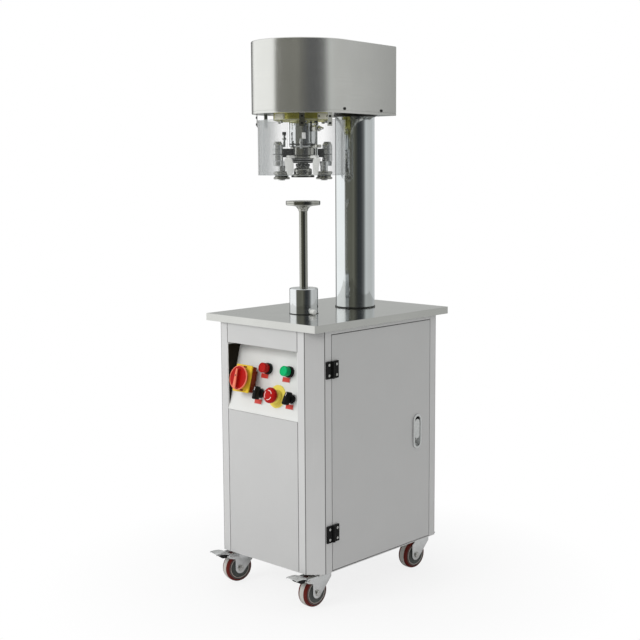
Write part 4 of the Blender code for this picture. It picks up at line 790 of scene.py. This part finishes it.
def build_carrier():
    low, high = CARRIER_LOW, CARRIER_HIGH
    drum = lathe([(14.6, low), (29, low), (32, low + 2.4), (32, low + 7), (31, low + 7.6), (31, low + 9),
                  (32, low + 9.6), (32, high - 1.5), (31, high), (14.6, high)], SPINDLE, facets=96)
    posts, post_bands, webs = [], [], []
    for turn in (0, 180):
        direction = POST[1] + turn
        at = (*polar(POST[0], direction), 0)
        webs.append(aimed(block((29, -7, low + 3), (58, 7, high - 4.2), 1.6), SPINDLE, direction))
        posts.append(lathe([(8.1, 1141.5), (12.6, 1141.5), (13.5, 1143), (13.5, 1158), (12.8, 1159),
                            (12.8, 1160), (13.5, 1161), (13.5, 1183.6), (12, 1185.5), (8.1, 1185.5)],
                           at, soft=0.5))
        post_bands += [ring(13.3, 12.6, 1158.4, 1160.6, at, soft=0.2),
                       ring(13.7, 13, 1172.2, 1173, at, soft=0.2)]
    piece("carrier_drum", drum, "steel", "base", ("roller_carrier",))
    piece("carrier_posts", posts, "zinc", "base")
    piece("carrier_post_bands", post_bands, "dark", "base")
    piece("carrier_webs", webs, "dark", "base")
    brackets = []
    # Each bracket's direction from the spindle, half its width, and the side that its foot leans to.
    for angle, half, lean in ((5, 10, -1), (-99, 10, 1), (128, 9, 0)):
        outline = rounded([(-half + 4 + lean * 5, 1105), (half - 4 + lean * 5, 1105),
                           (half - 1 + lean * 5, 1119), (half + lean * 5, 1132), (half, 1148.4),
                           (-half, 1148.4), (-half + lean * 2, 1132), (-half + 2 + lean * 3, 1119)], 2.5)
        brackets.append(aimed(prism(outline, -3.2, 3.2, axis="X", soft=0.8), (*polar(48, angle), 0), -47))
        foot = block((14, -half + 3, low + 0.5), (49, half - 3, low + 8), 1.2)
        brackets.append(aimed(foot, SPINDLE, angle))
    piece("carrier_brackets", brackets, "cast", "base")
    lines = [ring(31.5, 30.6, 1146.2, 1147.6, SPINDLE, soft=0.3, facets=96),
             ring(28.5, 27.4, 1139.6, 1140.8, SPINDLE, soft=0.3, facets=96)]
    piece("carrier_lines", lines, "zinc", "base")
    screws = [cap_screw(2.4, 1.2, (*polar(50.6, angle), 1141), -47) for angle in (8, -102)]
    groove = ring(32.4, 31.4, low + 7.4, low + 9.2, SPINDLE, soft=0.2, facets=96)
    neck = lathe([(15, 1136.5), (24, 1136.5), (28, 1139), (28, 1142.4), (27, 1143), (27, 1144), (31, 1145),
                  (31, low + 0.2), (15, low + 0.2)], SPINDLE, soft=0.5, facets=96)
    piece("carrier_screws", screws + [groove, neck], "dark", "base")


def build_roller_arm(side, turn):
    post = polar(POST[0], POST[1] + turn)
    axle = polar(AXLE[0], AXLE[1] + turn)
    low, high = 1129.2, 1141.2
    across = Vector(axle) - Vector(post)
    lean = math.degrees(math.atan2(across.y, across.x))
    outline = arc(axle, 11, lean - 85, lean + 85, 20) + arc(post, 12, lean + 88, lean + 272, 24)
    shapes = [prism(outline, low, high, soft=1.4),
              rod(7, high - 0.5, 1186.5, (*post, 0)),
              rod(10, 1115.8, low + 0.5, (*axle, 0), soft=1.2),
              rod(5.8, 1091.6, 1116, (*axle, 0)),
              rod(9, 1091.7, 1094.2, (*axle, 0), soft=0.8)]
    piece(f"{side}_arm", shapes, "zinc", f"{side}_arm", (f"{side}_roller_arm",))
    caps = [lathe([(0, 1185.9), (11.4, 1185.9), (11.4, 1188), (9.6, 1188.4), (9.6, 1192), (0, 1192.4)],
                  (*post, 0), soft=0.5),
            prism(hexagon(9, axle), 1141, 1145.4)]
    piece(f"{side}_arm_caps", caps, "steel", f"{side}_arm")
    roller = lathe([(radius, ROLLER_LOW + z) for radius, z in (
        (6.6, 0), (19.8, 0), (21.5, 1.4), (21.5, 4.4), (20.4, 5.6), (18, 7), (17.2, 9), (17.6, 11.4),
        (20.4, 13.4), (21.5, 14.8), (21.5, 18.6), (20, 20.6), (14, 21), (6.6, 21))],
        (*axle, 0), soft=0.7, facets=80)
    piece(f"{side}_roller", roller, "steel", f"{side}_roller", (f"{side}_seaming_roller",))
    band_sizes = ((21.75, 21, 2.4, 3.3), (21.75, 21, 16.4, 17.3), (17.7, 16.8, 7.8, 10.8))
    bands = [ring(outer, inner, ROLLER_LOW + start, ROLLER_LOW + end, (*axle, 0), soft=0.2, facets=80)
             for outer, inner, start, end in band_sizes]
    piece(f"{side}_roller_bands", bands, "dark", f"{side}_roller")


def build_seaming_gear():
    build_flange()
    build_housing()
    build_clamp_rods()
    build_spindle()
    build_carrier()
    for side, turn in (("right", 0), ("left", 180)):
        build_roller_arm(side, turn)
    refinish(["spindle_pulley", "drive_pulley", "drive_shaft"], "steel", 0.4)
    refinish(["drive_belt"], "rubber", 0.4)


# Lift, platform and guide collar.

def build_lift():
    top = heights("cup_platform")[1]
    rod_low = heights("lift_rod")[0]
    hub_low = top - 27
    shoulder = hub_low - 0.3
    shaft = lathe([(0, rod_low), (11, rod_low), (11, shoulder), (8, shoulder), (8, top - 8), (0, top - 8)],
                  SPINDLE, soft=0.5)
    piece("lift_shaft", shaft, "rod", "lift", ("lift_rod",))
    plate = lathe([(8.6, hub_low), (12.4, hub_low), (13.6, hub_low + 5), (19, top - 15.5), (26, top - 13.4),
                   (44, top - 11.6), (45.5, top - 10), (45.5, top - 1), (44.2, top), (38, top),
                   (37, top - 0.8), (0, top - 0.8), (0, top - 7.7), (8.6, top - 7.7)], SPINDLE, soft=0.5,
                  facets=96)
    piece("platform_plate", plate, "steel", "platform", ("cup_platform",))
    band = ring(45.8, 45.0, top - 6.4, top - 5.6, SPINDLE, soft=0.2, facets=96)
    piece("platform_band", band, "dark", "platform")

    foot = TABLE_TOP
    collar = lathe([(11.7, foot + 0.3), (36.8, foot + 0.3), (38, foot + 1.6), (38, foot + 66),
                    (36.4, foot + 67.8), (16, foot + 68), (15, foot + 67), (14, foot + 66.4),
                    (11.7, foot + 66.4)], SPINDLE, soft=0.5, facets=96)
    piece("collar_body", collar, "chrome", "base", ("guide_collar",))
    foot_ring = ring(39, 37.4, foot + 0.1, foot + 1.5, SPINDLE, soft=0.4, facets=96)
    piece("collar_foot_ring", foot_ring, "dark", "base")
    knob = lathe([(0, 13), (4, 13), (4, 38.4), (6.8, 38.4), (6.8, 40.4), (5.6, 41), (5.6, 42.2), (7.0, 42.8),
                  (7.0, 52), (4.8, 54.6), (0, 54.6)], axis="X", soft=0.5, facets=32)
    piece("clamp_knob", aimed(knob, (0, SPINDLE_Y, foot + 7.5), -14), "cast", "clamp", ("clamp_screw",))


# Casters, each in its own frame: the swivel axis is x = y = 0 and the wheel trails towards -Y.

AXLE_AT = (0, -TRAIL, WHEEL_R)
PIN_Y, PIN_Z = -56.98, 77.0    # the brake pedal's pin


def build_wheel(name, place):
    body = f"{name}_wheel"
    core = [(4.6, -13.5), (26, -13.5), (28, -15.5), (34, -15.5), (37.0, -13.6), (38.9, -9.8), (39.3, -7.2),
            (38.4, -7), (38.4, 7), (39.3, 7.2), (38.9, 9.8), (37.0, 13.6), (34, 15.5), (28, 15.5), (26, 13.5),
            (4.6, 13.5)]
    piece(f"{name}_core", lathe(core, AXLE_AT, "X", 0.6, 96), "core", body, (body,), place)
    tread = [(38.0, -7.3), (39.2, -7.3), (39.5, -6.4), (39.5, 6.4), (39.2, 7.3), (38.0, 7.3)]
    piece(f"{name}_tread", lathe(tread, AXLE_AT, "X", 0.4, 96), "tread", body, (), place)
    rings = [ring(28.6, 27.4, middle - 0.6, middle + 0.6, AXLE_AT, "X", 0.4, 96) for middle in (-15.4, 15.4)]
    piece(f"{name}_ring", rings, "tread", body, (), place)
    hub = [(4.6, 12.8), (33, 12.8), (33, 15.5), (31, 15.9), (29, 15.2), (26, 15.2), (25, 14.4), (19, 14.4),
           (16, 15.4), (4.6, 15.8)]
    hubs = [lathe([(radius, side * out) for radius, out in hub], AXLE_AT, "X", 0.5, 96) for side in (-1, 1)]
    piece(f"{name}_hub", hubs, "hub", body, (), place)


def both_sides(near, far):
    """The span from near to far, to the left and to the right."""
    return (-far, -near), (near, far)


def build_fork(name, place):
    inner, thick = 17.0, 2.5
    outer = inner + thick
    bridge_low, bridge_high = 80.5, 84.0
    plate_low = 92.2
    fork = f"{name}_fork"
    shapes = [block((-outer, -26, bridge_low), (outer, 22, bridge_high), 1.2),
              lathe([(0, bridge_high - 0.5), (22.5, bridge_high - 0.5), (24, bridge_high + 1.2),
                     (24, plate_low - 2.4), (22, plate_low - 0.4), (0, plate_low - 0.4)]),
              rod(6, plate_low - 0.6, 94.9)]
    cheek = [(-26, bridge_high - 0.5), (22, bridge_high - 0.5), (22, bridge_low - 8)]
    cheek += arc((-TRAIL, WHEEL_R), 15, -28, -180, 16) + [(-TRAIL - 15, 66)]
    has_ear = name.startswith("front")
    if has_ear:
        cheek += arc((PIN_Y, PIN_Z), 7, 235, 95, 8)
    else:
        cheek += [(-TRAIL - 15, 70), (-30, bridge_low)]
    shapes += [prism(cheek, low, high, axis="X", soft=0.7) for low, high in both_sides(inner, outer)]
    piece(f"{fork}_body", shapes, "zinc", fork, (fork,), place)
    parts = [rod(4, -outer - 5.6, outer + 5.6, AXLE_AT, "X", 0.8)]
    for nut, washer in zip(both_sides(outer - 0.2, outer + 5), both_sides(outer - 0.3, outer + 1)):
        parts += [prism(hexagon(13), *nut, AXLE_AT, "X", 0.8), rod(9.2, *washer, AXLE_AT, "X", 0.3)]
    if has_ear:
        parts.append(rod(3, -outer - 1.8, outer + 1.8, (0, PIN_Y, PIN_Z), "X", 0.8))
    piece(f"{name}_axle_nuts", parts, "bolt", fork, (), place)
    race = [ring(24.6, 15, bridge_high + 2.6, bridge_high + 3.6, soft=0.3),
            ring(24.6, 15, bridge_high + 5.2, bridge_high + 6.0, soft=0.3)]
    piece(f"{name}_race", race, "dark", fork, (), place)


def build_pedal(name, place):
    body = f"{name}_pedal"
    barrel = ring(6, 3.6, -15.8, 15.8, (0, PIN_Y, PIN_Z), "X", 0.6, 32)
    upper = []
    for k in range(13):
        t = k / 12
        arch = 5.0 * math.sin(math.pi * t) * (1 - 0.4 * t)
        upper.append((PIN_Y + 2 - 47 * t, PIN_Z + 5.6 + 8.6 * t + arch))
    outline = upper + [(y + 0.2, z - 2.4) for y, z in upper[::-1]]
    widths = [18.5 * (0.80 + 0.20 * min(1, (PIN_Y + 2 - y) / 18)) for y, _ in outline]
    loops = []
    for share, drop in ((-1, 2.6), (-0.97, 0.9), (-0.85, 0), (0.85, 0), (0.97, 0.9), (1, 2.6)):
        loops.append([(share * half, y, z - drop) for (y, z), half in zip(outline, widths)])
    tread = soften(loft(loops), 0.5, 50)
    cam = prism(rounded([(PIN_Y - 6, PIN_Z - 2), (PIN_Y - 3, PIN_Z + 6), (PIN_Y + 5, PIN_Z + 5),
                         (PIN_Y + 4.5, PIN_Z - 4.5), (PIN_Y - 2, PIN_Z - 6)], 1.5), -9, 9, axis="X", soft=0.5)
    piece(f"{name}_pedal_plate", [barrel, tread, cam], "zinc", body, (f"{name}_brake_pedal",), place)
    shoe = prism(rounded([(PIN_Y - 6, PIN_Z + 3.6), (PIN_Y - 11, PIN_Z - 4), (PIN_Y - 24, PIN_Z - 2.5),
                          (PIN_Y - 31, PIN_Z + 3.5), (PIN_Y - 29, PIN_Z + 9.5)], 2), -13.5, 13.5, axis="X",
                 soft=1.0)
    piece(f"{name}_pedal_shoe", shoe, "rubber", body, (), place)


def build_casters():
    for name, x, y, angle, brake in CASTERS:
        place = Matrix.Translation((x, y, 0)) @ Matrix.Rotation(-math.radians(angle), 4, "Z")
        build_wheel(name, place)
        build_fork(name, place)
        if brake:
            build_pedal(name, place)
        refinish([f"{name}_caster_plate"], "zinc", 0.5)
        bolts = [hex_bolt(9, -4, (x + a, y + b, 91.2)) for a in (-27, 27) for b in (-27, 27)]
        piece(f"{name}_plate_bolts", bolts, "bolt", "base")


# Room: floor, light and camera.

def build_floor():
    """A round white floor that keeps the machine's shadow and fades into the background."""
    floor_r, sides = 1.5, 96
    mesh = bpy.data.meshes.new("floor")
    rim = [(floor_r * math.cos(k * math.tau / sides), floor_r * math.sin(k * math.tau / sides), 0)
           for k in range(sides)]
    mesh.from_pydata(rim, [], [tuple(range(sides))])
    floor = placed("floor", mesh)
    material, tree, shader = nodes_of("floor_white")
    shader.inputs["Base Color"].default_value = (0.86, 0.86, 0.86, 1)
    shader.inputs["Roughness"].default_value = 0.9
    glow = node(tree, "Emission", {"Color": (1, 1, 1, 1)})
    path = node(tree, "LightPath")
    place = node(tree, "TexCoord")
    reach = node(tree, "VectorMath", operation="LENGTH")
    tree.links.new(place.outputs["Object"], reach.inputs[0])
    fade = span(tree, reach.outputs["Value"], 0.82, 1.0, 0.3, 0.8)
    share = math_node(tree, "MULTIPLY", path.outputs["Is Camera Ray"], fade)
    mix = node(tree, "MixShader")
    tree.links.new(share, mix.inputs[0])
    tree.links.new(shader.outputs[0], mix.inputs[1])
    tree.links.new(glow.outputs[0], mix.inputs[2])
    tree.links.new(mix.outputs[0], tree.nodes["Material Output"].inputs["Surface"])
    mesh.materials.append(material)


# The studio's brightness round the horizon, as metal sees it: (degrees in plan, colour).
STUDIO = (
    (-180, (1.08, 1.09, 1.08)), (-114, (1.08, 1.09, 1.08)), (-106, (0.13, 0.13, 0.105)),
    (-68, (0.12, 0.12, 0.095)), (-57, (0.15, 0.15, 0.12)), (-47, (0.075, 0.075, 0.06)),
    (-30, (0.03, 0.034, 0.036)), (-12, (0.045, 0.048, 0.05)), (4, (0.14, 0.145, 0.145)),
    (20, (0.62, 0.64, 0.63)), (35, (0.58, 0.59, 0.58)), (62, (0.55, 0.56, 0.55)),
    (95, (0.64, 0.65, 0.66)), (120, (0.53, 0.54, 0.53)), (141, (0.50, 0.51, 0.50)),
    (147, (0.10, 0.10, 0.10)), (160, (0.12, 0.12, 0.12)), (172, (0.95, 0.96, 0.95)),
    (177, (1.08, 1.09, 1.08)),
)
OVERHEAD = (0.85, 0.86, 0.86)
FILL = (0.65, 0.65, 0.65)


def build_world():
    """Plain soft light, the studio for glossy rays, and white for the camera and through glass."""
    world = bpy.data.worlds.new("studio")
    bpy.context.scene.world = world
    world.use_nodes = True
    tree = world.node_tree
    tree.nodes.clear()
    place = coordinates(tree, "Generated")
    turn = math_node(tree, "ARCTAN2", place["Y"], place["X"])
    ramp = node(tree, "ValToRGB")
    tree.links.new(span(tree, turn, 0, 1, -math.pi, math.pi), ramp.inputs[0])
    elements = ramp.color_ramp.elements
    while len(elements) > 1:
        elements.remove(elements[-1])
    for index, (degrees, colour) in enumerate(STUDIO):
        position = (degrees + 180) / 360
        element = elements[0] if index == 0 else elements.new(position)
        element.position = position
        element.color = (*colour, 1)
    studio = blended(tree, span(tree, place["Z"], 0, 1, 0.45, 0.75), ramp.outputs[0], OVERHEAD)
    path = node(tree, "LightPath")
    seen = math_node(tree, "MAXIMUM", path.outputs["Is Camera Ray"], path.outputs["Is Transmission Ray"])
    light = blended(tree, path.outputs["Is Glossy Ray"], FILL, studio)
    colour = blended(tree, seen, light, (1.0, 1.0, 1.0))
    background = node(tree, "Background")
    output = node(tree, "OutputWorld")
    tree.links.new(colour, background.inputs["Color"])
    tree.links.new(background.outputs[0], output.inputs["Surface"])


def add_softbox(name, at, target, size, power):
    light = bpy.data.lights.new(name, "AREA")
    light.shape = "RECTANGLE"
    light.size, light.size_y = size
    light.energy = power
    item = placed(name, light)
    item.location = at
    item.rotation_euler = (Vector(target) - Vector(at)).to_track_quat("-Z", "Y").to_euler()
    item.visible_glossy = False


def build_camera():
    """The camera of the photo, fitted: in front and to the right, a little above the table."""
    camera = bpy.data.cameras.new("camera")
    camera.lens = 66.95
    camera.sensor_width = 36
    camera.shift_x = -0.01435
    item = placed("camera", camera)
    azimuth, elevation, roll = (math.radians(value) for value in (42.94, 7.45, -0.268))
    back = Vector((math.sin(azimuth) * math.cos(elevation), -math.cos(azimuth) * math.cos(elevation),
                   math.sin(elevation)))
    level = Vector((math.cos(azimuth), math.sin(azimuth), 0))
    upright = back.cross(level)
    right = level * math.cos(roll) + upright * math.sin(roll)
    top = upright * math.cos(roll) - level * math.sin(roll)
    matrix = Matrix((right, top, back)).transposed().to_4x4()
    matrix.translation = Vector((2.191, -2.355 + SHIFT_Y, 1.133))
    item.matrix_world = matrix
    bpy.context.scene.camera = item


build_camera()
build_cabinet()
build_controls()
build_column()
build_head()
build_guard()
build_seaming_gear()
build_lift()
build_casters()
build_floor()
build_world()
add_softbox("front_softbox", (-0.62, -2.99, 2.2), (0, -0.1, 0.7), (1.2, 1.2), 45)
bpy.context.scene.view_settings.view_transform = "Standard"
